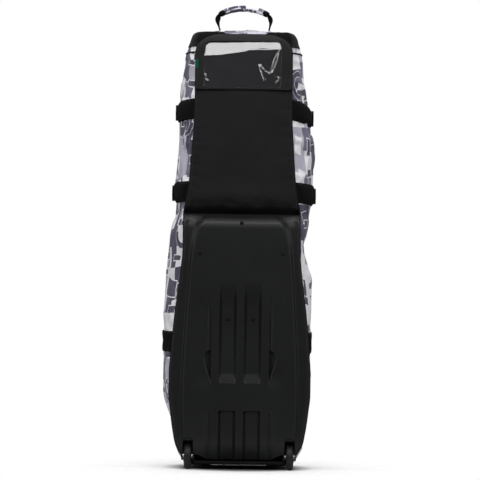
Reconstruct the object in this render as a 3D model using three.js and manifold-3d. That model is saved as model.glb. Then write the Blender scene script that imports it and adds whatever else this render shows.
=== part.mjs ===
// Wheeled golf travel case, standing upright on two inline wheels and two front feet.
// Millimetres. +Z up. The moulded shell and the wheels face -Y, the zipped front faces +Y.
// Origin: on the floor, at the centre of the case's outline.
import * as THREE from "three";
import { mergeVertices } from "three/addons/utils/BufferGeometryUtils.js";
import Module from "manifold-3d";

// ---------------------------------------------------------------- driving dimensions
const GAP = 0.4; // clearance between sewn or stacked pieces
const T = 7; // padded fabric wall
const SHELL_T = 4; // moulded shell wall
const FRONT_Y = 163; // outer face of the flat front
const WALL_BOTTOM = 22;
const WALL_TOP = 1210;
const SHELL_TOP = 738;
const PANEL_BOTTOM = 742;
const DOME_A = 30; // dome edge rounding, inwards
const DOME_B = 58; // dome edge rounding, upwards
const DOME_CROWN = 11;
const BASE_Z0 = 17; // underside of the base pan

const WHEEL_R = 38; // 76 mm inline wheel
const WHEEL_W = 24;
const WHEEL_X = 148;
const WHEEL_Y = -143;
const WHEEL_Z = 38;
const SLOT_HALF = 14.5;
const HOUSING_HALF = 18.5;
const HOUSING_TOP = 103;

const HINGE_Z = 300; // bottom edge of the front flap
const FLAP_TOP = 1192;
const FLAP_HALF_LOW = 150;
const FLAP_HALF_HIGH = 120;
const FLAP_HIGH_Z = 1130;
const FLAP_CORNER = 80;
const COIL_W = 4.6; // slot between flap and front panel, filled by the zipper coil

const HANDLE_AXIS_Z = 1282;

// half width of the back face, height by height
const BACK_HALF = [
  [0, 160], [22, 164], [40, 173], [60, 182], [80, 187], [100, 190], [130, 194], [170, 200], [220, 205], [270, 205], [340, 201], [400, 196],
  [460, 190], [520, 182], [580, 175], [640, 170], [700, 170], [738, 170], [780, 163], [820, 156], [880, 151], [940, 147], [1000, 143], [1060, 141],
  [1130, 141], [1210, 141], [1300, 141],
];
// half width at the widest, height by height
const SIDE_HALF = [
  [0, 160], [22, 170], [40, 178], [60, 186], [80, 190], [100, 194], [130, 199], [170, 208], [220, 216], [280, 218], [340, 219], [400, 219],
  [460, 220], [520, 218], [580, 213], [640, 206], [700, 202], [742, 199], [780, 199], [820, 201], [880, 201], [940, 198], [1000, 192], [1060, 186],
  [1130, 179], [1210, 169], [1300, 160],
];
// back face, height by height: rolled under at the bottom, a waist where the soft panel meets the shell
const BACK_Y = [
  [0, -96], [22, -128], [32, -140], [40, -147], [60, -159], [80, -166], [100, -169], [130, -171], [200, -172], [640, -172], [700, -171], [722, -167],
  [738, -159], [742, -156], [756, -163], [780, -170], [820, -175], [880, -177], [1000, -175], [1108, -170], [1210, -166], [1300, -160],
];

const wasm = await Module();
wasm.setup();

// ---------------------------------------------------------------- helpers
function table(rows, z) {
  if (z <= rows[0][0]) return rows[0][1];
  for (let i = 1; i < rows.length; i++)
    if (z <= rows[i][0]) {
      const f = (z - rows[i - 1][0]) / (rows[i][0] - rows[i - 1][0]);
      return rows[i - 1][1] + (rows[i][1] - rows[i - 1][1]) * f;
    }
  return rows[rows.length - 1][1];
}
const lerp = (a, b, f) => a + (b - a) * f;
const clamp = (v, a, b) => Math.min(b, Math.max(a, v));
const smooth = (a, b, v) => {
  const f = clamp((v - a) / (b - a), 0, 1);
  return f * f * (3 - 2 * f);
};

const backHalf = (z) => table(BACK_HALF, z);
const sideHalf = (z) => table(SIDE_HALF, z);
const frontHalf = (z) => sideHalf(z) - 30;
const backY = (z) => table(BACK_Y, z);

// A BoxGeometry whose grid lines are carried onto any curved block.
function mappedBox(us, vs, ws, f) {
  const nu = us.length - 1, nv = vs.length - 1, nw = ws.length - 1;
  const g = new THREE.BoxGeometry(1, 1, 1, nu, nv, nw);
  const p = g.getAttribute("position");
  for (let i = 0; i < p.count; i++) {
    const u = us[Math.round((p.getX(i) + 0.5) * nu)];
    const v = vs[Math.round((p.getY(i) + 0.5) * nv)];
    const w = ws[Math.round((p.getZ(i) + 0.5) * nw)];
    const q = f(u, v, w);
    p.setXYZ(i, q[0], q[1], q[2]);
  }
  return g;
}
const steps = (a, b, n) => Array.from({ length: n + 1 }, (_, i) => a + ((b - a) * i) / n);

// Keeps positions only, merges shared vertices, and turns the faces outwards.
function closed(geometry) {
  let g = geometry.clone();
  for (const k of Object.keys(g.attributes)) if (k !== "position") g.deleteAttribute(k);
  g = mergeVertices(g, 1e-3);
  const p = g.getAttribute("position"), idx = g.index.array;
  const a = new THREE.Vector3(), b = new THREE.Vector3(), c = new THREE.Vector3();
  let vol = 0;
  const keep = [];
  for (let i = 0; i < idx.length; i += 3) {
    if (idx[i] === idx[i + 1] || idx[i] === idx[i + 2] || idx[i + 1] === idx[i + 2]) continue;
    a.fromBufferAttribute(p, idx[i]);
    b.fromBufferAttribute(p, idx[i + 1]);
    c.fromBufferAttribute(p, idx[i + 2]);
    vol += a.dot(b.cross(c));
    keep.push(idx[i], idx[i + 1], idx[i + 2]);
  }
  if (vol < 0) for (let i = 0; i < keep.length; i += 3) [keep[i + 1], keep[i + 2]] = [keep[i + 2], keep[i + 1]];
  g.setIndex(keep);
  return g;
}
function solid(geometry) {
  const g = closed(geometry);
  return new wasm.Manifold(
    new wasm.Mesh({
      numProp: 3,
      vertProperties: new Float32Array(g.getAttribute("position").array),
      triVerts: new Uint32Array(g.index.array),
    }),
  );
}
function geometryOf(manifold) {
  const m = manifold.getMesh();
  const v = new Float32Array(m.numVert * 3);
  for (let i = 0; i < m.numVert; i++) v.set(m.vertProperties.subarray(i * m.numProp, i * m.numProp + 3), i * 3);
  return new THREE.BufferGeometry()
    .setAttribute("position", new THREE.BufferAttribute(v, 3))
    .setIndex(new THREE.BufferAttribute(new Uint32Array(m.triVerts), 1));
}
const box = (x0, x1, y0, y1, z0, z1) =>
  new THREE.BoxGeometry(x1 - x0, y1 - y0, z1 - z0).translate((x0 + x1) / 2, (y0 + y1) / 2, (z0 + z1) / 2);
// a cylinder along X, Y or Z, centred at c
function rod(r, length, axis, c, sides = 16) {
  const g = new THREE.CylinderGeometry(r, r, length, sides);
  if (axis === "x") g.rotateZ(Math.PI / 2);
  if (axis === "z") g.rotateX(Math.PI / 2);
  return g.translate(...c);
}
// drops outline points that lie on a straight line between their neighbours
function corners(points) {
  let pts = points;
  for (let pass = 0; pass < 3; pass++)
    pts = pts.filter(([x, y], i) => {
      const [ax, ay] = pts[(i + pts.length - 1) % pts.length], [bx, by] = pts[(i + 1) % pts.length];
      const cross = (x - ax) * (by - y) - (y - ay) * (bx - x);
      return Math.abs(cross) > 0.02 * (i % 2 === pass % 2 ? 1 : 0);
    });
  return pts;
}
// an outline in X and Z, extruded along Y from y0 to y1
function plate(points, y0, y1, holes = []) {
  const outline = corners(points).map(([x, z]) => new THREE.Vector2(x, z));
  if (THREE.ShapeUtils.isClockWise(outline)) outline.reverse();
  const s = new THREE.Shape(outline);
  for (const h of holes) s.holes.push(new THREE.Path(corners(h).map(([x, z]) => new THREE.Vector2(x, z))));
  const g = new THREE.ExtrudeGeometry(s, { depth: y1 - y0, bevelEnabled: false });
  return g.rotateX(Math.PI / 2).translate(0, y1, 0); // X stays, outline Z goes to +Z, depth to -Y
}
// an outline in X and Y, extruded up from z0 to z1
function slab(points, z0, z1) {
  const s = new THREE.Shape(corners(points).map(([x, y]) => new THREE.Vector2(x, y)));
  return new THREE.ExtrudeGeometry(s, { depth: z1 - z0, bevelEnabled: false }).translate(0, 0, z0);
}

// ---------------------------------------------------------------- materials
const mat = (color, roughness, metalness = 0, extra = {}) => new THREE.MeshStandardMaterial({ color, roughness, metalness, ...extra });
const M = {
  print: mat(0xc8c6d4, 0.8),
  black_fabric: mat(0x1c1c1e, 0.85),
  webbing: mat(0x141415, 0.9),
  shell: mat(0x222424, 0.5),
  vinyl: mat(0x40434a, 0.12, 0, { transparent: true, opacity: 0.4 }),
  foam: mat(0x3a3a3e, 0.95),
  urethane: mat(0x18181a, 0.45),
  hub: mat(0x26272a, 0.5),
  steel: mat(0x9a9ca0, 0.3, 0.9),
  buckle: mat(0x151517, 0.4),
  zipper: mat(0x101012, 0.6),
};

const golfCase = new THREE.Group();
golfCase.name = "golf_travel_case";
function add(name, geometry, material, parent = golfCase) {
  const m = new THREE.Mesh(geometry, material);
  m.name = name;
  parent.add(m);
  return m;
}

// ---------------------------------------------------------------- body surface
const SIDE_Z = [22, 32, 40, 60, 80, 100, 130, 170, 220, 280, 340, 400, 460, 520, 580, 640, 700, 738, 760, 780, 820, 880, 940, 1000, 1060, 1130, 1170, 1210];
// point on the side's outer face; t runs from the back seam (0) to the front seam (1)
function sidePoint(t, z) {
  const wb = backHalf(z), ws = sideHalf(z), wf = frontHalf(z), yb = backY(z), yf = FRONT_Y, d = yf - yb;
  const wc = (ws - 0.125 * (wb + wf)) / 0.75;
  const b0 = (1 - t) ** 3, b1 = 3 * t * (1 - t) ** 2, b2 = 3 * t * t * (1 - t), b3 = t ** 3;
  return [b0 * wb + b1 * wc + b2 * wc + b3 * wf, b0 * yb + b1 * (yb + 0.2 * d) + b2 * (yf - 0.2 * d) + b3 * yf];
}
function sideNormal(t, z) {
  const e = 0.01, a = sidePoint(clamp(t - e, 0, 1), z), b = sidePoint(clamp(t + e, 0, 1), z);
  const dx = b[0] - a[0], dy = b[1] - a[1], l = Math.hypot(dx, dy);
  return [dy / l, -dx / l];
}
// the side's surface moved outwards by off (negative is into the wall)
function sideOffset(t, z, off) {
  const p = sidePoint(t, z), n = sideNormal(t, z);
  return [p[0] + n[0] * off, p[1] + n[1] * off, z];
}
// the inner face turns square at both seams, so that the neighbours butt against a flat edge
function sideInner(t, z, depth) {
  const p = sidePoint(t, z), n = sideNormal(t, z);
  const kb = 1 - smooth(0, 0.14, t), kf = smooth(0.86, 1, t), kn = 1 - kb - kf;
  return [p[0] - n[0] * depth * kn, p[1] + (-n[1] * kn + kb - kf) * depth, z];
}
const SIDE_T = [0, 0.05, 0.12, 0.22, 0.34, 0.5, 0.66, 0.78, 0.88, 0.95, 1];

// ---------------------------------------------------------------- wheel housings (cut out of shell, base and walls)
const housingCut = (s, grow) =>
  solid(box(s * WHEEL_X - HOUSING_HALF - grow, s * WHEEL_X + HOUSING_HALF + grow, -230, -98 + grow, -20, HOUSING_TOP + grow));
function housing(s) {
  const zs = [26, 32, 40, 50, 60, 70, 80, 90, 100, HOUSING_TOP];
  const block = solid(
    mappedBox([-1, 1], zs, [0, 1], (u, z, w) => [s * WHEEL_X + u * HOUSING_HALF, w ? -98 : backY(z) + 1.2, z]),
  );
  const boss = solid(rod(12, HOUSING_HALF * 2, "x", [s * WHEEL_X, WHEEL_Y, WHEEL_Z], 20));
  const slot = solid(box(s * WHEEL_X - SLOT_HALF, s * WHEEL_X + SLOT_HALF, -260, -102, -40, 84));
  const hole = solid(rod(4.4, 80, "x", [s * WHEEL_X, WHEEL_Y, WHEEL_Z], 16));
  return geometryOf(block.add(boss).subtract(slot).subtract(hole));
}

// ---------------------------------------------------------------- moulded back shell
const plateauIn = (z) => table([[0, 140], [60, 156], [200, 166], [330, 162], [384, 159], [505, 152], [600, 144], [700, 126], [716, 118], [738, 112]], z);
const plateauOut = (z) => table([[0, 152], [60, 168], [200, 184], [330, 182], [400, 179], [505, 172], [600, 164], [700, 152], [722, 140], [738, 128]], z);
// how far the shell stands out from the back face at (x, z)
function shellRelief(x, z) {
  const ax = Math.abs(x);
  const rise = 9 * (1 - smooth(plateauIn(z), plateauOut(z), ax)) * (1 - smooth(712, 736, z));
  let cut = 0;
  const channel = smooth(13, 16.5, ax) * (1 - smooth(55.5, 59, ax));
  cut = Math.max(cut, channel * 7 * smooth(252, 278, z) * (1 - smooth(490, 545, z)));
  cut = Math.max(cut, channel * 7 * (1 - smooth(168, 175, z)));
  const scoopEdge = table([[250, 83], [290, 106], [320, 120], [345, 122], [400, 104], [470, 86]], z);
  if (z > 250 && z < 470) cut = Math.max(cut, smooth(83, 86, ax) * 7 * clamp((scoopEdge - ax) / 36, 0, 1));
  cut = Math.max(cut, smooth(83, 86, ax) * 2.4 * clamp((104 - ax) / 20, 0, 1) * (1 - smooth(168, 175, z)));
  return rise - cut * clamp(rise / 9, 0, 1);
}
const SHELL_X = [0, 13, 16.5, 55.5, 59, 83, 86, 104, 122];
const shellUs = [];
for (let i = -(SHELL_X.length + 3); i <= SHELL_X.length + 3; i++) shellUs.push(i);
function shellX(i, z) {
  const s = Math.sign(i), k = Math.abs(i), n = SHELL_X.length;
  const edge = backHalf(z) - GAP;
  const feature = k < n ? SHELL_X[k] : [plateauIn(z), lerp(plateauIn(z), plateauOut(z), 0.5), plateauOut(z), edge][k - n];
  return s * Math.min(feature, edge - (n + 3 - k) * 0.6, k < n ? plateauIn(z) - (n - k) * 1.2 : 1e9);
}
const SHELL_Z = [22, 32, 40, 60, 80, 100, 130, 168, 175, 220, 252, 278, 290, 320, 345, 400, 460, 490, 520, 545, 580, 640, 700, 712, 724, 738];
let shellSolid = solid(
  mappedBox(shellUs, SHELL_Z, [0, 1], (i, z, w) => {
    const x = shellX(i, z);
    return [x, backY(z) - shellRelief(x, z) + (w ? SHELL_T : 0), z];
  }),
);
for (const s of [-1, 1]) shellSolid = shellSolid.subtract(housingCut(s, 0.3));

// rivets that hold the shell to the frame board
const RIVETS = [
  ["rivet_top", 0, 716],
  ["rivet_left_upper", -121, 628],
  ["rivet_right_upper", 121, 628],
  ["rivet_left_lower", -36, 438],
  ["rivet_right_lower", 36, 438],
];
for (const [name, x, z] of RIVETS) {
  let y = 0; // the head sits on the highest point of the face under it
  for (let a = 0; a < 12; a++) {
    const px = x + 6.5 * Math.cos((a * Math.PI) / 6), pz = z + 6.5 * Math.sin((a * Math.PI) / 6);
    y = Math.min(y, backY(pz) - shellRelief(px, pz));
  }
  shellSolid = shellSolid.subtract(solid(rod(2.6, 60, "y", [x, y, z], 10)));
  const profile = [[0, -2.4], [3, -2.1], [5, -1.3], [5.6, -0.5], [5.6, -0.4], [2.2, -0.4], [2.2, 9], [0, 9]];
  const g = new THREE.LatheGeometry(profile.map(([r, h]) => new THREE.Vector2(r, h)), 14);
  add(name, closed(g.translate(x, y - 0.3, z)), M.steel);
}
add("back_shell", geometryOf(shellSolid), M.shell);

// ---------------------------------------------------------------- soft walls
for (const s of [-1, 1]) {
  const wall = solid(
    mappedBox(SIDE_T, SIDE_Z, [0, 1], (t, z, w) => {
      const q = w ? sideInner(t, z, T) : [...sidePoint(t, z), z];
      return [s * q[0], q[1], z];
    }),
  );
  add(s < 0 ? "side_panel_left" : "side_panel_right", geometryOf(wall.subtract(housingCut(s, 0.3))), M.print);
}

const backPanelZ = [742, 750, 756, 768, 780, 800, 820, 850, 880, 940, 1000, 1060, 1108, 1130, 1170, 1209.7];
add(
  "back_panel",
  closed(
    mappedBox(steps(-1, 1, 8), backPanelZ, [0, 1], (u, z, w) => {
      const x = u * (backHalf(z) - GAP);
      const crown = 4 * (1 - u * u) * smooth(742, 800, z);
      return [x, backY(z) - crown + (w ? T + crown : 0), z];
    }),
  ),
  M.black_fabric,
);

// flat front, open where the flap is
const flapEdge = (z) => lerp(FLAP_HALF_LOW, FLAP_HALF_HIGH, (z - HINGE_Z) / (FLAP_HIGH_Z - HINGE_Z));
// U outline, from low left up and over to low right; inset moves it inwards
function flapOutline(inset, zLow, arc = 7) {
  const r = FLAP_CORNER - inset, top = FLAP_TOP - inset, zc = top - r;
  const pts = [];
  const half = (z) => flapEdge(z) - inset;
  const xc = half(zc) - r;
  for (const z of [zLow, zLow + (zc - zLow) / 2]) pts.push([-half(z), z]);
  for (let i = 0; i <= arc; i++) {
    const a = Math.PI - (Math.PI / 2) * (i / arc);
    pts.push([-xc + Math.cos(a) * r, zc + Math.sin(a) * r]);
  }
  for (let i = 0; i <= arc; i++) {
    const a = Math.PI / 2 - (Math.PI / 2) * (i / arc);
    pts.push([xc + Math.cos(a) * r, zc + Math.sin(a) * r]);
  }
  for (const z of [zLow + (zc - zLow) / 2, zLow]) pts.push([half(z), z]);
  return pts;
}
const frontOutline = [
  ...SIDE_Z.map((z) => [-(frontHalf(z) - GAP), z]),
  ...[...SIDE_Z].reverse().map((z) => [frontHalf(z) - GAP, z]),
];
add("front_panel", closed(plate(frontOutline, FRONT_Y - T, FRONT_Y, [flapOutline(0, HINGE_Z)])), M.print);

// base pan
const baseOutline = [];
for (const t of [0, 0.08, 0.2, 0.35, 0.5, 0.65, 0.8, 0.92, 1]) baseOutline.push(sidePoint(t, WALL_BOTTOM));
const basePoints = [...baseOutline, ...[...baseOutline].reverse().map(([x, y]) => [-x, y])];
let base = solid(slab(basePoints, BASE_Z0, WALL_BOTTOM - 0.3));
for (const s of [-1, 1]) base = base.subtract(housingCut(s, 0.3));
add("base_pan", geometryOf(base), M.shell);

// ---------------------------------------------------------------- dome
const DOME_C = [0, -3];
// distance from the dome's centre to the wall outline, by direction
function outlineReach(angle) {
  const dx = Math.cos(angle), dy = Math.sin(angle), z = WALL_TOP;
  const poly = [];
  for (let i = 0; i <= 24; i++) poly.push(sidePoint(i / 24, z));
  const full = [...poly, ...[...poly].reverse().map(([x, y]) => [-x, y])];
  let best = 1e9;
  for (let i = 0; i < full.length; i++) {
    const [x1, y1] = full[i], [x2, y2] = full[(i + 1) % full.length];
    const ex = x2 - x1, ey = y2 - y1, fx = x1 - DOME_C[0], fy = y1 - DOME_C[1];
    const den = dx * ey - dy * ex;
    if (Math.abs(den) < 1e-9) continue;
    const r = (fx * ey - fy * ex) / den, k = (fx * dy - fy * dx) / den;
    if (r > 0 && k >= -1e-9 && k <= 1 + 1e-9) best = Math.min(best, r);
  }
  return best;
}
// s runs from the dome's rim (0) through the rounded edge (0.6) to its centre (1); off moves it inwards
function domePoint(angle, s, off) {
  const reach = outlineReach(angle);
  let r, z;
  if (s <= 0.6) {
    const phi = (s / 0.6) * (Math.PI / 2);
    r = reach - DOME_A + (DOME_A - off) * Math.cos(phi);
    z = WALL_TOP + 0.4 + (DOME_B - off) * Math.sin(phi);
  } else {
    const k = (s - 0.6) / 0.4;
    r = (reach - DOME_A) * (1 - k);
    z = WALL_TOP + 0.4 + DOME_B - off + DOME_CROWN * (1 - (1 - k) ** 2);
  }
  return [DOME_C[0] + Math.cos(angle) * r, DOME_C[1] + Math.sin(angle) * r, z];
}
const DOME_S = [0, 0.1, 0.2, 0.3, 0.4, 0.5, 0.6, 0.8, 1];
// directions from the centre: the four corners, with eight equal steps between them
const DOME_CORNERS = [[141, -166], [139, 160], [-139, 160], [-141, -166]].map(([x, y]) => Math.atan2(y - DOME_C[1], x - DOME_C[0]));
const DOME_ANGLES = DOME_CORNERS.flatMap((a, i) => {
  const b = DOME_CORNERS[(i + 1) % 4], span = (b - a + Math.PI * 4) % (Math.PI * 2);
  return steps(a, a + span, 8).slice(0, 8);
});
const domeAngle = (k) => DOME_ANGLES[((k % 32) + 32) % 32];
function domeShell(offOut, offIn, sMin = 0, list = DOME_S, skip = 1) {
  // profile from the top centre out to the rim and back under to the centre, then carried onto the outline
  const ss = list.filter((s) => s > sMin);
  const prof = [...[...ss].reverse().map((s) => [s, offOut]), [sMin, offOut], [sMin, offIn], ...ss.map((s) => [s, offIn])];
  const n = 32 / skip;
  const g = new THREE.LatheGeometry(
    prof.map(([s], i) => new THREE.Vector2(s >= 1 ? 0 : 1, i)),
    n,
  );
  const p = g.getAttribute("position");
  const per = prof.length;
  for (let i = 0; i < p.count; i++) {
    const ring = Math.floor(i / per) % n, k = i % per;
    const q = domePoint(domeAngle(ring * skip), prof[k][0], prof[k][1]);
    p.setXYZ(i, q[0], q[1], q[2]);
  }
  return g;
}
add("top_panel", closed(domeShell(0, T)), M.print);
add("head_pad", closed(domeShell(T + 1.5, T + 13, 0.1, [0, 0.1, 0.3, 0.5, 0.6, 1], 2)), M.foam);

// corner guards wrap the dome's two back corners; the left one reaches further along the back
for (const s of [-1, 1]) {
  const from = s < 0 ? [21, 22, 23, 24, 25, 26] : [30, 31, 32, 33, 34, 35];
  add(
    s < 0 ? "corner_guard_left" : "corner_guard_right",
    closed(mappedBox(from, DOME_S.filter((v) => v >= 0.1 && v <= 0.6), [0, 1], (k, sv, w) => domePoint(domeAngle(k), sv, w ? -0.6 : -2.6))),
    M.black_fabric,
  );
}

// ---------------------------------------------------------------- document pocket on the back
function pocketY(z) {
  if (z <= WALL_TOP) return backY(z);
  const f = clamp((z - WALL_TOP) / DOME_B, 0, 0.97);
  return backY(WALL_TOP) + DOME_A * (1 - Math.sqrt(1 - f * f)) - 2.2 * smooth(1238, 1262, z);
}
const POCKET_Z = [1102, 1130, 1160, 1190, 1204, 1216, 1226, 1236, 1244, 1251, 1257, 1262, 1265];
function pocketSheet(half, zs, off0, off1) {
  return solid(mappedBox([-1, -0.5, 0, 0.5, 1], zs, [0, 1], (u, z, w) => [u * half, pocketY(z) - 4.6 - (w ? off0 : off1), z]));
}
function roundedOutline(x0, x1, z0, z1, rLow, rTop, n = 6) {
  const pts = [];
  const corner = (cx, cz, rx, rz, a0) => {
    for (let i = 0; i <= n; i++) {
      const a = a0 + (Math.PI / 2) * (i / n);
      pts.push([cx + Math.cos(a) * rx, cz + Math.sin(a) * rz]);
    }
  };
  corner(x1 - rTop[0], z1 - rTop[1], rTop[0], rTop[1], 0);
  corner(x0 + rTop[0], z1 - rTop[1], rTop[0], rTop[1], Math.PI / 2);
  corner(x0 + rLow, z0 + rLow, rLow, rLow, Math.PI);
  corner(x1 - rLow, z0 + rLow, rLow, rLow, Math.PI * 1.5);
  return pts;
}
const pocketFrame = pocketSheet(143, POCKET_Z, 0, 3.4)
  .intersect(solid(plate(roundedOutline(-140.4, 140.4, 1103, 1263, 4, [84, 52]), -230, -100)))
  .subtract(solid(plate(roundedOutline(-112, 105, 1113, 1240, 6, [14, 12]), -230, -100)));
add("id_pocket_frame", geometryOf(pocketFrame), M.black_fabric);
const pocketWindow = pocketSheet(143, POCKET_Z, 1.4, 2.4).intersect(
  solid(plate(roundedOutline(-111.6, 104.6, 1113.4, 1239.6, 5.6, [13.6, 11.6]), -230, -100)),
);
add("id_window", geometryOf(pocketWindow), M.vinyl);

// ---------------------------------------------------------------- internal cinch strap
add("inner_cinch_strap", closed(box(-150, 150, -164, -161.6, 655, 693)), M.webbing);

// ---------------------------------------------------------------- feet
for (const s of [-1, 1]) {
  const pts = roundedOutline(s * 112 - 34, s * 112 + 34, 112, 142, 12, [12, 12], 4);
  const top = slab(pts, 4, BASE_Z0 - 0.3);
  const pad = slab(roundedOutline(s * 112 - 30, s * 112 + 30, 116, 138, 9, [9, 9], 4), 0, 6);
  add(s < 0 ? "front_foot_left" : "front_foot_right", geometryOf(solid(top).add(solid(pad))), M.hub);
}

// ---------------------------------------------------------------- wheels
for (const s of [-1, 1]) {
  const side = s < 0 ? "left" : "right";
  add("wheel_housing_" + side, housing(s), M.shell);
  const turn = (profile, n) => {
    const g = new THREE.LatheGeometry([...profile, profile[0]].map(([r, x]) => new THREE.Vector2(r, x)), n);
    return closed(g.rotateZ(Math.PI / 2).translate(s * WHEEL_X, WHEEL_Y, WHEEL_Z));
  };
  const h = WHEEL_W / 2;
  const tyre = [[25.6, -9], [31, -11], [34.5, -9.2], [37, -5.6], [WHEEL_R, -1.6], [WHEEL_R, 1.6], [37, 5.6], [34.5, 9.2], [31, 11], [25.6, 9]];
  const hub = [[11.4, -10], [15, -10], [16.5, -6], [22, -6], [23.5, -9], [25.2, -9], [25.2, 9], [23.5, 9], [22, 6], [16.5, 6], [15, 10], [11.4, 10]];
  const bearing = [[4.3, -h + 1.4], [6.4, -h + 1.4], [6.4, -h + 2], [11, -h + 2], [11, -h + 9], [6.4, -h + 9], [6.4, h - 9], [11, h - 9], [11, h - 2], [6.4, h - 2], [6.4, h - 1.4], [4.3, h - 1.4]];
  add("wheel_tyre_" + side, turn(tyre, 24), M.urethane);
  add("wheel_hub_" + side, turn(hub, 18), M.hub);
  add("wheel_bearing_" + side, turn(bearing, 12), M.steel);
  // pin with a spacer collar each side of the wheel
  const axle = solid(rod(4, HOUSING_HALF * 2 - 0.4, "x", [s * WHEEL_X, WHEEL_Y, WHEEL_Z], 14))
    .add(solid(rod(6.2, 3, "x", [s * WHEEL_X + 12.5, WHEEL_Y, WHEEL_Z], 14)))
    .add(solid(rod(6.2, 3, "x", [s * WHEEL_X - 12.5, WHEEL_Y, WHEEL_Z], 14)));
  add("wheel_axle_" + side, geometryOf(axle), M.steel);
}

// ---------------------------------------------------------------- compression straps
// level, centre height at the back seam, drop towards the front, left and right, height of the wide band
const STRAPS = [
  ["upper", 1046, [8, 20], 60],
  ["middle", 806, [4, 8], 60],
  ["lower", 370, [0, 0], 60],
];
const BUCKLE_Y0 = 6; // back end of the female half
const BUCKLE_Y1 = 40; // where the halves meet
const BUCKLE_Y2 = 76; // front end of the male half
const BUCKLE_W = 46;
const WEB_W = 38;
const tAtY = (y, z) => {
  let a = 0, b = 1;
  for (let i = 0; i < 40; i++) {
    const m = (a + b) / 2;
    if (sidePoint(m, z)[1] < y) a = m;
    else b = m;
  }
  return (a + b) / 2;
};
for (const [level, zc, drops, height] of STRAPS)
  for (const s of [-1, 1]) {
    const side = s < 0 ? "left" : "right";
    const drop = drops[s < 0 ? 0 : 1];
    const hasBuckle = level !== "lower";
    const tEnd = hasBuckle ? tAtY(BUCKLE_Y0 - 2, zc - drop) : 0.97;
    // wide band from the back seam, narrowing to the webbing where it meets the buckle
    add(
      "strap_band_" + level + "_" + side,
      closed(
        mappedBox(steps(0.015, tEnd, hasBuckle ? 7 : 12), [-1, -0.33, 0.33, 1], [0, 1], (t, v, w) => {
          const f = t / tEnd;
          const h = (hasBuckle ? lerp(height, WEB_W, smooth(0.72, 1, f)) : height) / 2;
          const z = zc - drop * (hasBuckle ? f : 1) + v * h;
          const q = sideOffset(t, z, w ? 4.4 : 0.8);
          return [s * q[0], q[1], q[2]];
        }),
      ),
      M.webbing,
    );
    if (!hasBuckle) continue;
    const z0 = zc - drop;
    const zb = [z0 - BUCKLE_W / 2, z0 + BUCKLE_W / 2];
    let x0 = 0; // inner face of the buckle clears the bulging wall
    for (const z of [zb[0], z0, zb[1]])
      for (const y of [BUCKLE_Y0, BUCKLE_Y1, BUCKLE_Y2, BUCKLE_Y2 + 30]) x0 = Math.max(x0, sidePoint(tAtY(y, z), z)[0] + 1);
    const mirror = (geometry) => (s < 0 ? geometryOf(solid(geometry).mirror([1, 0, 0])) : geometry);
    // female half: a flat pocket open at its front end, with a slot at its back bar
    const female = solid(box(x0, x0 + 11, BUCKLE_Y0, BUCKLE_Y1, ...zb))
      .subtract(solid(box(x0 + 2, x0 + 9, BUCKLE_Y0 + 11, BUCKLE_Y1 + 1, zb[0] + 3, zb[1] - 3)))
      .subtract(solid(box(x0 + 2.2, x0 + 12, BUCKLE_Y0 + 4, BUCKLE_Y0 + 8, zb[0] + 3.6, zb[1] - 3.6)))
      .subtract(solid(box(x0 + 2, x0 + 9, BUCKLE_Y0 + 17, BUCKLE_Y1 - 7, zb[0] - 1, zb[1] + 1)));
    add("buckle_female_" + level + "_" + side, mirror(geometryOf(female)), M.buckle);
    // male half: plate, two prongs that reach into the pocket, and a bar over the webbing
    const male = solid(box(x0 + 2.6, x0 + 7, BUCKLE_Y1 + 0.6, BUCKLE_Y2, zb[0] + 1, zb[1] - 1))
      .add(solid(box(x0 + 3, x0 + 7, BUCKLE_Y1 - 20, BUCKLE_Y1 + 4, zb[0] + 3.8, zb[0] + 10)))
      .add(solid(box(x0 + 3, x0 + 7, BUCKLE_Y1 - 20, BUCKLE_Y1 + 4, zb[1] - 10, zb[1] - 3.8)))
      .add(solid(box(x0 + 3, x0 + 7, BUCKLE_Y1 - 16, BUCKLE_Y1 + 4, z0 - 3, z0 + 3)))
      .add(solid(box(x0 + 2.6, x0 + 12, BUCKLE_Y2 - 12, BUCKLE_Y2, zb[0] + 1, zb[0] + 3.2)))
      .add(solid(box(x0 + 2.6, x0 + 12, BUCKLE_Y2 - 12, BUCKLE_Y2, zb[1] - 3.2, zb[1] - 1)))
      .add(solid(box(x0 + 9.8, x0 + 12, BUCKLE_Y2 - 12, BUCKLE_Y2 - 4, zb[0] + 1, zb[1] - 1)));
    add("buckle_male_" + level + "_" + side, mirror(geometryOf(male)), M.buckle);
    // webbing tail: over the male plate and under its bar, straight past the buckle's travel, then down to the front seam
    const straight = BUCKLE_Y2 + 31;
    const path = [[x0 + 8.4, BUCKLE_Y1 + 8], [x0 + 8.4, BUCKLE_Y2], [x0 + 8.4, straight]];
    for (const y of [126, 140, 150, 156]) {
      const p = sideOffset(tAtY(y, z0), z0, 3.6);
      path.push([p[0], p[1]]);
    }
    add(
      "strap_tail_" + level + "_" + side,
      mirror(
        mappedBox(path.map((_, i) => i), [-1, 1], [0, 1], (i, v, w) => {
          const a = path[Math.max(0, i - 1)], b = path[Math.min(path.length - 1, i + 1)];
          const dx = b[0] - a[0], dy = b[1] - a[1], l = Math.hypot(dx, dy), o = w ? 0.8 : -0.8;
          return [path[i][0] + (dy / l) * o, path[i][1] - (dx / l) * o, z0 + (v * WEB_W) / 2];
        }),
      ),
      M.webbing,
    );
  }

// ---------------------------------------------------------------- front flap, its zipper and pocket
const flap = new THREE.Group();
golfCase.add(flap);
const fo = flapOutline(COIL_W, HINGE_Z + 0.4);
add("front_flap", closed(plate(fo, FRONT_Y - T, FRONT_Y)), M.print, flap);
// the coil fills the slot round the flap
const coilOut = flapOutline(0.4, HINGE_Z + 8), coilIn = flapOutline(COIL_W - 0.4, HINGE_Z + 8);
add("main_zipper_coil", closed(plate([...coilOut, ...coilIn.reverse()], FRONT_Y - 4, FRONT_Y + 1.4)), M.zipper);

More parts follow.
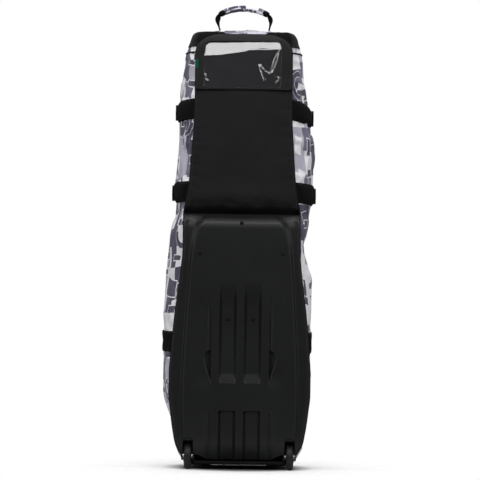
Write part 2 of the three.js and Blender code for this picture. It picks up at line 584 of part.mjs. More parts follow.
const trackDir = new THREE.Vector3(FLAP_HALF_HIGH - FLAP_HALF_LOW, 0, FLAP_HIGH_Z - HINGE_Z).normalize();
const trackTilt = Math.atan2(trackDir.x, trackDir.z);
const trackX = (z) => flapEdge(z) - COIL_W / 2;
function slider() {
  // body wider at its nose, with a bail on top that holds the pull
  const pts = [[-6.5, 7], [6.5, 7], [6.5, 1], [4.6, -8], [-4.6, -8], [-6.5, 1]];
  const s = solid(plate(pts, 0, 3.4));
  const bail = solid(box(-1.4, 1.4, 3, 8.6, -4, 5)).subtract(solid(box(-3, 3, 4.2, 7.1, -2, 3)));
  return geometryOf(s.add(bail));
}
// the pull hangs from the bail: its top bar passes through the bail's window, and is its origin
function pull(length) {
  const ring = solid(box(-4.5, 4.5, -0.9, 0.9, -8.5, 0.8)).subtract(solid(box(-2, 2, -3, 3, -5.8, -0.8)));
  const tab = solid(box(-4.5, 4.5, -0.9, 0.9, -length, -6.5));
  return geometryOf(ring.add(tab));
}
const PULL_AT = [0, 5.65, -0.2]; // centre of the pull's top bar, in the slider's frame
for (const [name, z] of [["upper", 777], ["lower", 751]]) {
  const body = new THREE.Group();
  body.position.set(trackX(z), FRONT_Y + 2, z);
  body.rotation.y = trackTilt;
  flap.add(body);
  add("zip_slider_" + name, slider(), M.zipper, body);
  const tab = new THREE.Group();
  tab.position.set(...PULL_AT);
  body.add(tab);
  add("zip_pull_" + name, pull(name === "upper" ? 18 : 34), M.webbing, tab);
}

// pocket on the flap, with an upright zipper along its left side
const PK = { x: 96, z0: 420, z1: 980, d: 8 };
add(
  "flap_pocket",
  closed(
    mappedBox(
      [-1, -0.93, -0.8, -0.4, 0, 0.4, 0.8, 0.93, 1],
      [PK.z0, PK.z0 + 8, PK.z0 + 30, 560, 700, 840, PK.z1 - 30, PK.z1 - 8, PK.z1],
      [0, 1],
      (u, z, w) => {
        const ez = Math.min(z - PK.z0, PK.z1 - z);
        const puff = Math.sqrt(clamp(1 - u * u, 0, 1)) ** 0.5 * clamp(Math.sqrt(ez / 40), 0, 1);
        return [u * PK.x, FRONT_Y + 0.4 + (w ? 2 + PK.d * puff : 0), z];
      },
    ),
  ),
  M.black_fabric,
  flap,
);
const pocketSliderBody = new THREE.Group();
pocketSliderBody.position.set(-66, FRONT_Y + 0.4 + 2 + PK.d, 930);
flap.add(pocketSliderBody);
add("pocket_zip_slider", slider(), M.zipper, pocketSliderBody);
const pocketPullBody = new THREE.Group();
pocketPullBody.position.set(...PULL_AT);
pocketSliderBody.add(pocketPullBody);
add("pocket_zip_pull", pull(30), M.webbing, pocketPullBody);

// ---------------------------------------------------------------- top handle
// centreline of the webbing loop in X and Z
const loop = [
  [-70, HANDLE_AXIS_Z], [-73, 1295], [-75.5, 1310], [-73, 1322.5], [-64, 1333], [-52, 1338.5], [-36, 1342.5], [-18, 1345], [0, 1345.8],
];
const loopFull = [...loop, ...loop.slice(0, -1).reverse().map(([x, z]) => [-x, z])];
function ribbon(points, half, thick, halfWidth) {
  return mappedBox(points.map((_, i) => i), [-1, 1], [0, 1], (i, v, w) => {
    const a = points[Math.max(0, i - 1)], b = points[Math.min(points.length - 1, i + 1)];
    const dx = b[0] - a[0], dz = b[1] - a[1], l = Math.hypot(dx, dz), o = w ? thick / 2 : -thick / 2;
    return [points[i][0] - (dz / l) * o, v * halfWidth(i), points[i][1] + (dx / l) * o];
  });
}
const handle = new THREE.Group();
golfCase.add(handle);
const taper = (i) => {
  const k = Math.min(i, loopFull.length - 1 - i);
  return k === 0 ? 6 : k === 1 ? 9 : k === 2 ? 11.5 : 12.5;
};
add("handle_webbing", closed(ribbon(loopFull, 0, 2.6, taper)), M.webbing, handle);
const gripLine = new THREE.CatmullRomCurve3(
  loopFull.filter(([x]) => Math.abs(x) < 60).map(([x, z]) => new THREE.Vector3(x, 0, z)),
);
const gripPoints = gripLine.getSpacedPoints(10);
const grip = mappedBox(gripPoints.map((_, i) => i), steps(0, 1, 4), steps(0, 1, 2), (i, a, b) => {
  const p = gripPoints[i], q0 = gripPoints[Math.max(0, i - 1)], q1 = gripPoints[Math.min(10, i + 1)];
  const d = q1.clone().sub(q0).normalize();
  // square section carried onto a rounded one
  const sx = 2 * a - 1, sy = 2 * b - 1;
  const k = Math.max(Math.abs(sx), Math.abs(sy)) / Math.max(1e-6, (Math.abs(sx) ** 2.6 + Math.abs(sy) ** 2.6) ** (1 / 2.6));
  return [p.x - d.z * sy * k * 8.8, sx * k * 15.5, p.z + d.x * sy * k * 8.8];
});
const gripCore = solid(ribbon(loopFull, 0, 3.4, () => 12.9));
add("handle_grip", geometryOf(solid(grip).subtract(gripCore)), M.print, handle);

// ---------------------------------------------------------------- grab handle at the foot of the front
const grab = new THREE.Group();
golfCase.add(grab);
const GRAB_Z = 208;
const grabOuter = roundedOutline(-74, 74, 152, GRAB_Z, 16, [4, 4], 4), grabInner = roundedOutline(-52, 52, 178, GRAB_Z - 8, 8, [3, 3], 4);
add("foot_grab_handle", closed(plate(grabOuter, FRONT_Y + 1, FRONT_Y + 5.5, [grabInner])), M.webbing, grab);

export default golfCase;
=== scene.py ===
"""Looks of the golf travel case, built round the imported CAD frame. Sizes below are in millimetres until mesh creation."""
import math

import bmesh
import bpy
import numpy as np
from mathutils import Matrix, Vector


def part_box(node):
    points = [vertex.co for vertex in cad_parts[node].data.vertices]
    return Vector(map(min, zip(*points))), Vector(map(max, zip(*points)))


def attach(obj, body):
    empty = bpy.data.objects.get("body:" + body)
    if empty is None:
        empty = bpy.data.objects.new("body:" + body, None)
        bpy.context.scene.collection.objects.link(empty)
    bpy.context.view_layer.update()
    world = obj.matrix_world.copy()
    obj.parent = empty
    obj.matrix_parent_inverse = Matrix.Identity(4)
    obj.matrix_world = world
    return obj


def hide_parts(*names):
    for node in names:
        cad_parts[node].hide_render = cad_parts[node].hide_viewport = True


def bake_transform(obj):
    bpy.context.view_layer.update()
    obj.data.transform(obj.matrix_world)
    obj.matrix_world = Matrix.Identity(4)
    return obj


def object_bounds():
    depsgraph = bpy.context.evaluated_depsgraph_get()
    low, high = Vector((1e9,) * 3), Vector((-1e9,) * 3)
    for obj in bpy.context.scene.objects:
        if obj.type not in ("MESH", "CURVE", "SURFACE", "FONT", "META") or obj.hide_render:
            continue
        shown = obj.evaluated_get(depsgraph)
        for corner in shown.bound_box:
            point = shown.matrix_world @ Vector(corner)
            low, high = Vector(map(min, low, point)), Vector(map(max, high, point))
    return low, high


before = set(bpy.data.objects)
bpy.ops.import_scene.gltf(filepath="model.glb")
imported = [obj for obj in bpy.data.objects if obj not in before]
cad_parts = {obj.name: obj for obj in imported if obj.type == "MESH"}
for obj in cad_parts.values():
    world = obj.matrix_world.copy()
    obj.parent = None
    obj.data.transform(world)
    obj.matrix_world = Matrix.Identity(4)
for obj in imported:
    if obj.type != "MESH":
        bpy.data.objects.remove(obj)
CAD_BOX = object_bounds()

MM = 0.001
FRONT_Y = 163.0
WALL_TOP = 1210.0
DOME_A, DOME_B, DOME_CROWN = 30.0, 58.0, 11.0
WHEEL = (148.0, -143.0, 38.0)


# ---------------------------------------------------------------- numbers
def pchip(rows):
    """A smooth curve through the rows that never overshoots them."""
    x = np.array([r[0] for r in rows], float)
    y = np.array([r[1] for r in rows], float)
    h = np.diff(x)
    d = np.diff(y) / h
    m = np.zeros_like(x)
    m[0], m[-1] = d[0], d[-1]
    for i in range(1, len(x) - 1):
        if d[i - 1] * d[i] > 0:
            w1, w2 = 2 * h[i] + h[i - 1], h[i] + 2 * h[i - 1]
            m[i] = (w1 + w2) / (w1 / d[i - 1] + w2 / d[i])

    def f(z):
        z = np.clip(np.asarray(z, float), x[0], x[-1])
        i = np.clip(np.searchsorted(x, z, side="right") - 1, 0, len(x) - 2)
        t = (z - x[i]) / h[i]
        return (
            (2 * t**3 - 3 * t**2 + 1) * y[i]
            + (t**3 - 2 * t**2 + t) * h[i] * m[i]
            + (-2 * t**3 + 3 * t**2) * y[i + 1]
            + (t**3 - t**2) * h[i] * m[i + 1]
        )

    return f


def sm(a, b, v):
    f = np.clip((np.asarray(v, float) - a) / (b - a), 0, 1)
    return f * f * (3 - 2 * f)


def _hash(ix, iy, iz, seed):
    h = (ix * 374761393 + iy * 668265263 + iz * 1440662683 + seed * 974634777) & 0xFFFFFFFF
    h = ((h ^ (h >> 13)) * 1274126177) & 0xFFFFFFFF
    h = ((h ^ (h >> 15)) * 2246822519) & 0xFFFFFFFF
    return ((h ^ (h >> 16)) & 0xFFFFFFFF) / 4294967295.0


def vnoise(x, y, z, seed=0):
    """Smooth value noise from -1 to 1."""
    x, y, z = np.broadcast_arrays(np.asarray(x, float), np.asarray(y, float), np.asarray(z, float))
    ix, iy, iz = (np.floor(v).astype(np.int64) for v in (x, y, z))
    fx, fy, fz = x - ix, y - iy, z - iz
    fx, fy, fz = (f * f * f * (f * (f * 6 - 15) + 10) for f in (fx, fy, fz))
    out = 0
    for dx in (0, 1):
        for dy in (0, 1):
            for dz in (0, 1):
                w = (fx if dx else 1 - fx) * (fy if dy else 1 - fy) * (fz if dz else 1 - fz)
                out = out + w * _hash(ix + dx, iy + dy, iz + dz, seed)
    return out * 2 - 1


def fbm(x, y, z, seed=0, octaves=3):
    out, amp = 0, 1.0
    for k in range(octaves):
        out = out + amp * vnoise(x * 2**k, y * 2**k, z * 2**k, seed + 17 * k)
        amp *= 0.5
    return out


BACK_HALF = pchip([
    (0, 150), (22, 157), (35, 164), (46, 170), (58, 177), (80, 186), (100, 190), (130, 195), (170, 200), (220, 205), (270, 205), (340, 201), (400, 196),
    (460, 190), (520, 182), (580, 175), (640, 170), (700, 170), (738, 170), (780, 163), (820, 156), (880, 151), (940, 147), (1000, 143), (1060, 141),
    (1130, 141), (1210, 141), (1300, 141)])
SIDE_HALF = pchip([
    (0, 160), (22, 170), (40, 178), (60, 186), (80, 190), (100, 194), (130, 199), (170, 208), (220, 216), (280, 218), (340, 219), (400, 219),
    (460, 220), (520, 218), (580, 213), (640, 206), (700, 202), (742, 199), (780, 199), (820, 201), (880, 201), (940, 198), (1000, 192), (1060, 186),
    (1130, 179), (1210, 169), (1300, 160)])
BACK_Y = pchip([
    (0, -96), (22, -128), (32, -140), (40, -147), (60, -159), (80, -166), (100, -169), (130, -171), (200, -172), (640, -172), (700, -171), (722, -167),
    (738, -159), (742, -156), (756, -163), (780, -170), (820, -175), (880, -177), (1000, -175), (1108, -170), (1210, -166), (1300, -160)])
# the widest half width of each side: the cloth fills out more on the left, and is pinched in on the right at mid height
WIDE = {
    -1: pchip([(22, 162), (40, 174), (60, 183), (80, 189), (100, 195), (145, 202), (168, 211), (191, 219), (215, 225), (240, 228), (284, 229), (330, 226), (372, 222),
               (410, 228), (447, 232), (493, 229), (540, 226), (586, 224), (632, 219), (680, 216), (702, 211), (725, 202), (748, 193), (775, 190),
               (806, 191), (841, 196), (887, 196), (934, 194), (980, 191), (1003, 188), (1046, 184), (1096, 184), (1143, 181), (1189, 173), (1210, 169)]),
    1: pchip([(22, 162), (40, 174), (60, 183), (80, 188), (100, 192), (145, 199), (191, 205), (238, 207), (307, 206), (372, 204), (400, 207), (447, 211), (493, 212),
              (539, 212), (563, 209), (586, 201), (609, 195), (632, 189), (655, 188), (679, 195), (702, 199), (725, 201), (748, 199), (775, 202),
              (806, 203), (841, 208), (887, 211), (934, 208), (957, 204), (980, 197), (1003, 195), (1050, 190), (1096, 186), (1143, 178), (1189, 172), (1210, 169)]),
}


def front_half(z):
    return SIDE_HALF(z) - 30


# ---------------------------------------------------------------- meshes
def finish_mesh(name, verts, faces, mat, uv=None, smooth=True, fix=True, scale=MM):
    me = bpy.data.meshes.new(name)
    v = np.asarray(verts, float).reshape(-1, 3) * scale
    me.from_pydata(v.tolist(), [], [list(f) for f in faces])
    if uv is not None:
        at = me.attributes.new("wuv", "FLOAT_VECTOR", "POINT")
        u3 = np.zeros((len(v), 3), np.float32)
        u3[:, : np.asarray(uv).shape[1]] = np.asarray(uv) * scale
        at.data.foreach_set("vector", u3.ravel())
    if fix:
        bm = bmesh.new()
        bm.from_mesh(me)
        bmesh.ops.recalc_face_normals(bm, faces=bm.faces)
        bm.to_mesh(me)
        bm.free()
    if smooth:
        me.polygons.foreach_set("use_smooth", [True] * len(me.polygons))
    if mat is not None:
        for m in mat if isinstance(mat, (list, tuple)) else [mat]:
            me.materials.append(m)
    me.update()
    o = bpy.data.objects.new(name, me)
    bpy.context.scene.collection.objects.link(o)
    return o


def quads(nu, nv, base=0, flip=False, wrap_u=False):
    i, j = np.meshgrid(np.arange(nu if wrap_u else nu - 1), np.arange(nv - 1), indexing="ij")
    i2 = (i + 1) % nu
    a, b, c, d = base + i * nv + j, base + i2 * nv + j, base + i2 * nv + j + 1, base + i * nv + j + 1
    q = np.stack([a, b, c, d] if not flip else [a, d, c, b], -1).reshape(-1, 4)
    return q


def arc_uv(A, mid=None):
    """Distances along the surface from its middle, so that a weave keeps its real size."""
    du = np.linalg.norm(np.diff(A, axis=0), axis=2)
    u = np.concatenate([np.zeros((1, A.shape[1])), np.cumsum(du, 0)], 0)
    u = u - u[(A.shape[0] // 2) if mid is None else mid][None]
    dv = np.linalg.norm(np.diff(A, axis=1), axis=2)
    v = np.concatenate([np.zeros((A.shape[0], 1)), np.cumsum(dv, 1)], 1)
    v = np.broadcast_to(v[A.shape[0] // 2][None], v.shape)
    return np.stack([u, v], -1)


def two_skins(name, A, B, mat, uv=None, smooth=True):
    """A closed body between an outer grid A and an inner grid B."""
    nu, nv = A.shape[:2]
    n = nu * nv
    uv = arc_uv(A) if uv is None else uv
    F = [quads(nu, nv), quads(nu, nv, n, True)]
    rim = []
    idx = lambda i, j: i * nv + j
    for i in range(nu - 1):
        rim.append((idx(i, 0), idx(i + 1, 0), n + idx(i + 1, 0), n + idx(i, 0)))
        rim.append((idx(i, nv - 1), n + idx(i, nv - 1), n + idx(i + 1, nv - 1), idx(i + 1, nv - 1)))
    for j in range(nv - 1):
        rim.append((idx(0, j), n + idx(0, j), n + idx(0, j + 1), idx(0, j + 1)))
        rim.append((idx(nu - 1, j), idx(nu - 1, j + 1), n + idx(nu - 1, j + 1), n + idx(nu - 1, j)))
    faces = np.concatenate(F + [np.array(rim)])
    return finish_mesh(name, np.concatenate([A.reshape(-1, 3), B.reshape(-1, 3)]), faces, mat, np.concatenate([uv.reshape(-1, 2)] * 2), smooth)


def grid_normals(A):
    du = np.gradient(A, axis=0)
    dv = np.gradient(A, axis=1)
    n = np.cross(du, dv)
    return n / np.maximum(np.linalg.norm(n, axis=2, keepdims=True), 1e-9)


def frames_along(P, up):
    """Tangent, normal and side vectors along a path; up is one vector or one for each point."""
    P = np.asarray(P, float)
    T = np.gradient(P, axis=0)
    T /= np.maximum(np.linalg.norm(T, axis=1, keepdims=True), 1e-9)
    N = np.broadcast_to(np.asarray(up, float), P.shape).copy()
    N -= (N * T).sum(1, keepdims=True) * T
    N /= np.maximum(np.linalg.norm(N, axis=1, keepdims=True), 1e-9)
    B = np.cross(T, N)
    return T, N, B


def sweep(name, P, up, section, mat, closed=False, smooth=True):
    """A section (list of (side, normal) offsets, or a function of the share along) carried along a path."""
    P = np.asarray(P, float)
    T, N, B = frames_along(P, up)
    n = len(P)
    L = np.concatenate([[0], np.cumsum(np.linalg.norm(np.diff(P, axis=0), axis=1))])
    V, UV = [], []
    for i in range(n):
        s = section(i / (n - 1)) if callable(section) else section
        s = np.asarray(s, float)
        V.append(P[i] + s[:, :1] * B[i] + s[:, 1:2] * N[i])
        UV.append(np.stack([s[:, 0], np.full(len(s), L[i])], -1))
    V, UV = np.array(V), np.array(UV)
    k = V.shape[1]
    idx = lambda i, j: (i % n) * k + (j % k)
    faces = []
    for i in range(n if closed else n - 1):
        for j in range(k):
            faces.append((idx(i, j), idx(i, j + 1), idx(i + 1, j + 1), idx(i + 1, j)))
    if not closed:
        faces.append([idx(0, j) for j in range(k)][::-1])
        faces.append([idx(n - 1, j) for j in range(k)])
    return finish_mesh(name, V.reshape(-1, 3), faces, mat, UV.reshape(-1, 2), smooth)


def round_rect(hw, ht, r=None, n=3):
    """Half width, half thickness, corner radius."""
    r = min(hw, ht) * 0.9 if r is None else r
    pts = []
    for cx, cy, a0 in ((hw - r, ht - r, 0), (-hw + r, ht - r, 90), (-hw + r, -ht + r, 180), (hw - r, -ht + r, 270)):
        for i in range(n + 1):
            a = math.radians(a0 + 90 * i / n)
            pts.append((cx + r * math.cos(a), cy + r * math.sin(a)))
    return pts


def circle(r, n=12):
    return [(r * math.cos(2 * math.pi * i / n), r * math.sin(2 * math.pi * i / n)) for i in range(n)]


def spline(points, n, closed=False):
    """Evenly spaced points on a Catmull-Rom curve."""
    P = np.asarray(points, float)
    m = len(P)
    out = []
    segs = m if closed else m - 1
    for i in range(segs):
        p0 = P[(i - 1) % m] if closed or i > 0 else 2 * P[0] - P[1]
        p1, p2 = P[i], P[(i + 1) % m]
        p3 = P[(i + 2) % m] if closed or i + 2 < m else 2 * P[-1] - P[-2]
        for t in np.linspace(0, 1, 24, endpoint=False):
            out.append(0.5 * (2 * p1 + (p2 - p0) * t + (2 * p0 - 5 * p1 + 4 * p2 - p3) * t * t + (3 * p1 - p0 - 3 * p2 + p3) * t**3))
    out.append(P[0] if closed else P[-1])
    out = np.array(out)
    L = np.concatenate([[0], np.cumsum(np.linalg.norm(np.diff(out, axis=0), axis=1))])
    s = np.linspace(0, L[-1], n + 1 if closed else n)
    Q = np.stack([np.interp(s, L, out[:, k]) for k in range(3)], 1)
    return Q[:-1] if closed else Q


def stitches(name, lines, mat, length=3.2, gap=1.5, w=0.42, h=0.34):
    """Rows of raised stitches. lines: (points, normals) pairs in millimetres."""
    V, F = [], []
    for P, N in lines:
        P = np.asarray(P, float)
        N = np.broadcast_to(np.asarray(N, float), P.shape)
        L = np.concatenate([[0], np.cumsum(np.linalg.norm(np.diff(P, axis=0), axis=1))])
        n = max(1, int(L[-1] // (length + gap)))
        step = L[-1] / n
        at = lambda q, Q: np.stack([np.interp(q, L, Q[:, k]) for k in range(3)], -1)
        for i in range(n):
            a = i * step + gap / 2
            e = np.array([a, a + 0.5 * (step - gap), a + step - gap])
            p, m = at(e, P), at(e, N)
            m /= np.maximum(np.linalg.norm(m, axis=1, keepdims=True), 1e-9)
            t = p[2] - p[0]
            t /= max(np.linalg.norm(t), 1e-9)
            b = np.cross(t, m[1])
            k = len(V)
            V += [p[0], p[2], p[1] + m[1] * h, p[1] + b * w, p[1] - m[1] * h, p[1] - b * w]
            F += [(k, k + 2, k + 3), (k, k + 3, k + 4), (k, k + 4, k + 5), (k, k + 5, k + 2), (k + 1, k + 3, k + 2), (k + 1, k + 4, k + 3), (k + 1, k + 5, k + 4), (k + 1, k + 2, k + 5)]
    return finish_mesh(name, V, F, mat)


def lathe(name, profile, centre, mat, axis="x", n=64, smooth=True, twist=None):
    """profile: (radius, along) pairs of a closed outline, turned about an axis through centre."""
    pr = np.asarray(profile, float)
    k = len(pr)
    V, UV = [], []
    for i in range(n):
        a = 2 * math.pi * i / n
        r = pr[:, 0]
        al = pr[:, 1]
        c, s = math.cos(a), math.sin(a)
        if axis == "x":
            V.append(np.stack([al, r * c, r * s], 1))
        elif axis == "y":
            V.append(np.stack([r * c, al, r * s], 1))
        else:
            V.append(np.stack([r * c, r * s, al], 1))
        UV.append(np.stack([al, np.full(k, a * pr[:, 0].max())], 1))
    V = np.array(V) + np.asarray(centre, float)
    idx = lambda i, j: (i % n) * k + (j % k)
    faces = [(idx(i, j), idx(i, j + 1), idx(i + 1, j + 1), idx(i + 1, j)) for i in range(n) for j in range(k)]
    return finish_mesh(name, V.reshape(-1, 3), faces, mat, np.array(UV).reshape(-1, 2), smooth)


def join(name, objs):
    """One object from several, keeping their materials and the wuv attribute."""
    bpy.ops.object.select_all(action="DESELECT")
    for o in objs:
        o.select_set(True)
    bpy.context.view_layer.objects.active = objs[0]
    bpy.ops.object.join()
    o = bpy.context.view_layer.objects.active
    o.name = name
    o.data.name = name
    o.select_set(False)
    return o


def bevel(o, width, segments=2, angle=35):
    m = o.modifiers.new("edge", "BEVEL")
    m.width, m.segments, m.limit_method, m.angle_limit = width * MM, segments, "ANGLE", math.radians(angle)
    m.harden_normals = False
    return o


def auto_smooth(o, angle=35):
    """Smooth faces with sharp edges above an angle, stored on the mesh."""
    bm = bmesh.new()
    bm.from_mesh(o.data)
    for e in bm.edges:
        e.smooth = len(e.link_faces) == 2 and e.calc_face_angle(0) < math.radians(angle)
    for f in bm.faces:
        f.smooth = True
    bm.to_mesh(o.data)
    bm.free()
    return o


def prism(name, outline, lo, hi, mat, axis="y", width=0.0, segments=2, smooth=True):
    """An outline in the plane across axis, extruded from lo to hi along it. Outline is (x, z) for y, (y, z) for x, (x, y) for z."""
    pts = np.asarray(outline, float)
    k = len(pts)

    def at(h):
        c = np.full(k, h)
        if axis == "y":
            return np.stack([pts[:, 0], c, pts[:, 1]], 1)
        if axis == "x":
            return np.stack([c, pts[:, 0], pts[:, 1]], 1)
        return np.stack([pts[:, 0], pts[:, 1], c], 1)

    V = np.concatenate([at(lo), at(hi)])
    faces = [list(range(k)), list(range(k, 2 * k))[::-1]] + [(i, (i + 1) % k, k + (i + 1) % k, k + i) for i in range(k)]
    uv = np.concatenate([pts, pts])
    o = finish_mesh(name, V, faces, mat, uv, smooth)
    auto_smooth(o, 40)
    if width:
        bevel(o, width, segments)
    return o


def rounded(x0, x1, z0, z1, r, n=6):
    """A rounded rectangle; r is one radius or four (top right, top left, bottom left, bottom right), each a number or (rx, rz)."""
    rr = [r] * 4 if not isinstance(r, (list, tuple)) else list(r)
    rr = [(q, q) if not isinstance(q, (list, tuple)) else q for q in rr]
    pts = []
    for (rx, rz), cx, cz, a0 in (
        (rr[0], x1 - rr[0][0], z1 - rr[0][1], 0),
        (rr[1], x0 + rr[1][0], z1 - rr[1][1], 90),
        (rr[2], x0 + rr[2][0], z0 + rr[2][1], 180),
        (rr[3], x1 - rr[3][0], z0 + rr[3][1], 270),
    ):
        for i in range(n + 1):
            a = math.radians(a0 + 90 * i / n)
            pts.append((cx + rx * math.cos(a), cz + rz * math.sin(a)))
    return pts


# ---------------------------------------------------------------- materials
class Tree:
    """A few words for building node materials."""

    def __init__(self, name):
        self.mat = bpy.data.materials.new(name)
        self.mat.use_nodes = True
        self.nt = self.mat.node_tree
        self.nt.nodes.clear()
        self.out = self.nt.nodes.new("ShaderNodeOutputMaterial")
        self.p = self.nt.nodes.new("ShaderNodeBsdfPrincipled")
        self.nt.links.new(self.p.outputs[0], self.out.inputs[0])

    def put(self, socket, value):
        if isinstance(value, bpy.types.NodeSocket):
            self.nt.links.new(value, socket)
        elif isinstance(value, (tuple, list)) and len(value) == 3 and socket.type == "RGBA":
            socket.default_value = (*value, 1)
        else:
            socket.default_value = value

    def set(self, **k):
        for name, v in k.items():
            self.put(self.p.inputs[name.replace("_", " ")], v)

    def attr(self, name="wuv"):
        n = self.nt.nodes.new("ShaderNodeAttribute")
        n.attribute_name = name
        return n.outputs["Vector"]

    def coords(self):
        return self.nt.nodes.new("ShaderNodeTexCoord").outputs["Object"]

    def m(self, op, a, b=0.0, c=0.0, clamp=False):
        n = self.nt.nodes.new("ShaderNodeMath")
        n.operation, n.use_clamp = op, clamp
        for s, v in zip(n.inputs, (a, b, c)):
            self.put(s, v)
        return n.outputs[0]

    def vm(self, op, a, b=(0, 0, 0), scale=None):
        n = self.nt.nodes.new("ShaderNodeVectorMath")
        n.operation = op
        self.put(n.inputs[0], a)
        if scale is not None:
            self.put(n.inputs["Scale"], scale)
        else:
            self.put(n.inputs[1], b)
        return n.outputs[0]

    def mapping(self, v, scale=(1, 1, 1), rot=0.0, loc=(0, 0, 0)):
        n = self.nt.nodes.new("ShaderNodeMapping")
        self.put(n.inputs["Vector"], v)
        n.inputs["Scale"].default_value = scale
        n.inputs["Rotation"].default_value = (0, 0, rot)
        n.inputs["Location"].default_value = loc
        return n.outputs[0]

    def noise(self, v, scale, detail=2.0, rough=0.5, dims="3D", color=False):
        n = self.nt.nodes.new("ShaderNodeTexNoise")
        n.noise_dimensions = dims
        self.put(n.inputs["Vector"], v)
        n.inputs["Scale"].default_value = scale
        n.inputs["Detail"].default_value = detail
        n.inputs["Roughness"].default_value = rough
        return n.outputs["Color" if color else "Fac"]

    def voronoi(self, v, scale=1.0, feature="F1", metric="EUCLIDEAN", randomness=1.0):
        n = self.nt.nodes.new("ShaderNodeTexVoronoi")
        n.voronoi_dimensions, n.feature, n.distance = "2D", feature, metric
        self.put(n.inputs["Vector"], v)
        n.inputs["Scale"].default_value = scale
        n.inputs["Randomness"].default_value = randomness
        return n

    def sep(self, v):
        n = self.nt.nodes.new("ShaderNodeSeparateXYZ")
        self.put(n.inputs[0], v)
        return n.outputs

    def mix(self, f, a, b):
        n = self.nt.nodes.new("ShaderNodeMix")
        n.data_type = "RGBA"
        self.put(n.inputs[0], f)
        self.put(n.inputs[6], a)
        self.put(n.inputs[7], b)
        return n.outputs[2]

    def mixf(self, f, a, b):
        n = self.nt.nodes.new("ShaderNodeMix")
        self.put(n.inputs[0], f)
        self.put(n.inputs[2], a)
        self.put(n.inputs[3], b)
        return n.outputs[0]

    def less(self, a, b):
        return self.m("LESS_THAN", a, b)

    def more(self, a, b):
        return self.m("GREATER_THAN", a, b)

    def ramp(self, f, stops, mode="LINEAR"):
        n = self.nt.nodes.new("ShaderNodeValToRGB")
        n.color_ramp.interpolation = mode
        e = n.color_ramp.elements
        while len(e) < len(stops):
            e.new(0.5)
        for k, (pos, col) in zip(e, stops):
            k.position = pos
            k.color = (*col, 1) if not isinstance(col, float) else (col, col, col, 1)
        self.put(n.inputs[0], f)
        return n.outputs[0]

    def bump(self, height, strength=1.0, distance=0.001, normal=None):
        n = self.nt.nodes.new("ShaderNodeBump")
        n.inputs["Strength"].default_value = strength
        n.inputs["Distance"].default_value = distance
        self.put(n.inputs["Height"], height)
        if normal is not None:
            self.put(n.inputs["Normal"], normal)
        return n.outputs[0]

    def weave(self, uv, pitch):
        """Height of a plain weave, 0 to 1; pitch is one yarn in metres."""
        x, y, _ = self.sep(uv)
        k = math.pi / pitch
        sx = self.m("SINE", self.m("MULTIPLY", x, k))
        sy = self.m("SINE", self.m("MULTIPLY", y, k))
        over = self.more(self.m("MULTIPLY", sx, sy), 0.0)
        return self.mixf(over, self.m("ABSOLUTE", sx), self.m("ABSOLUTE", sy))


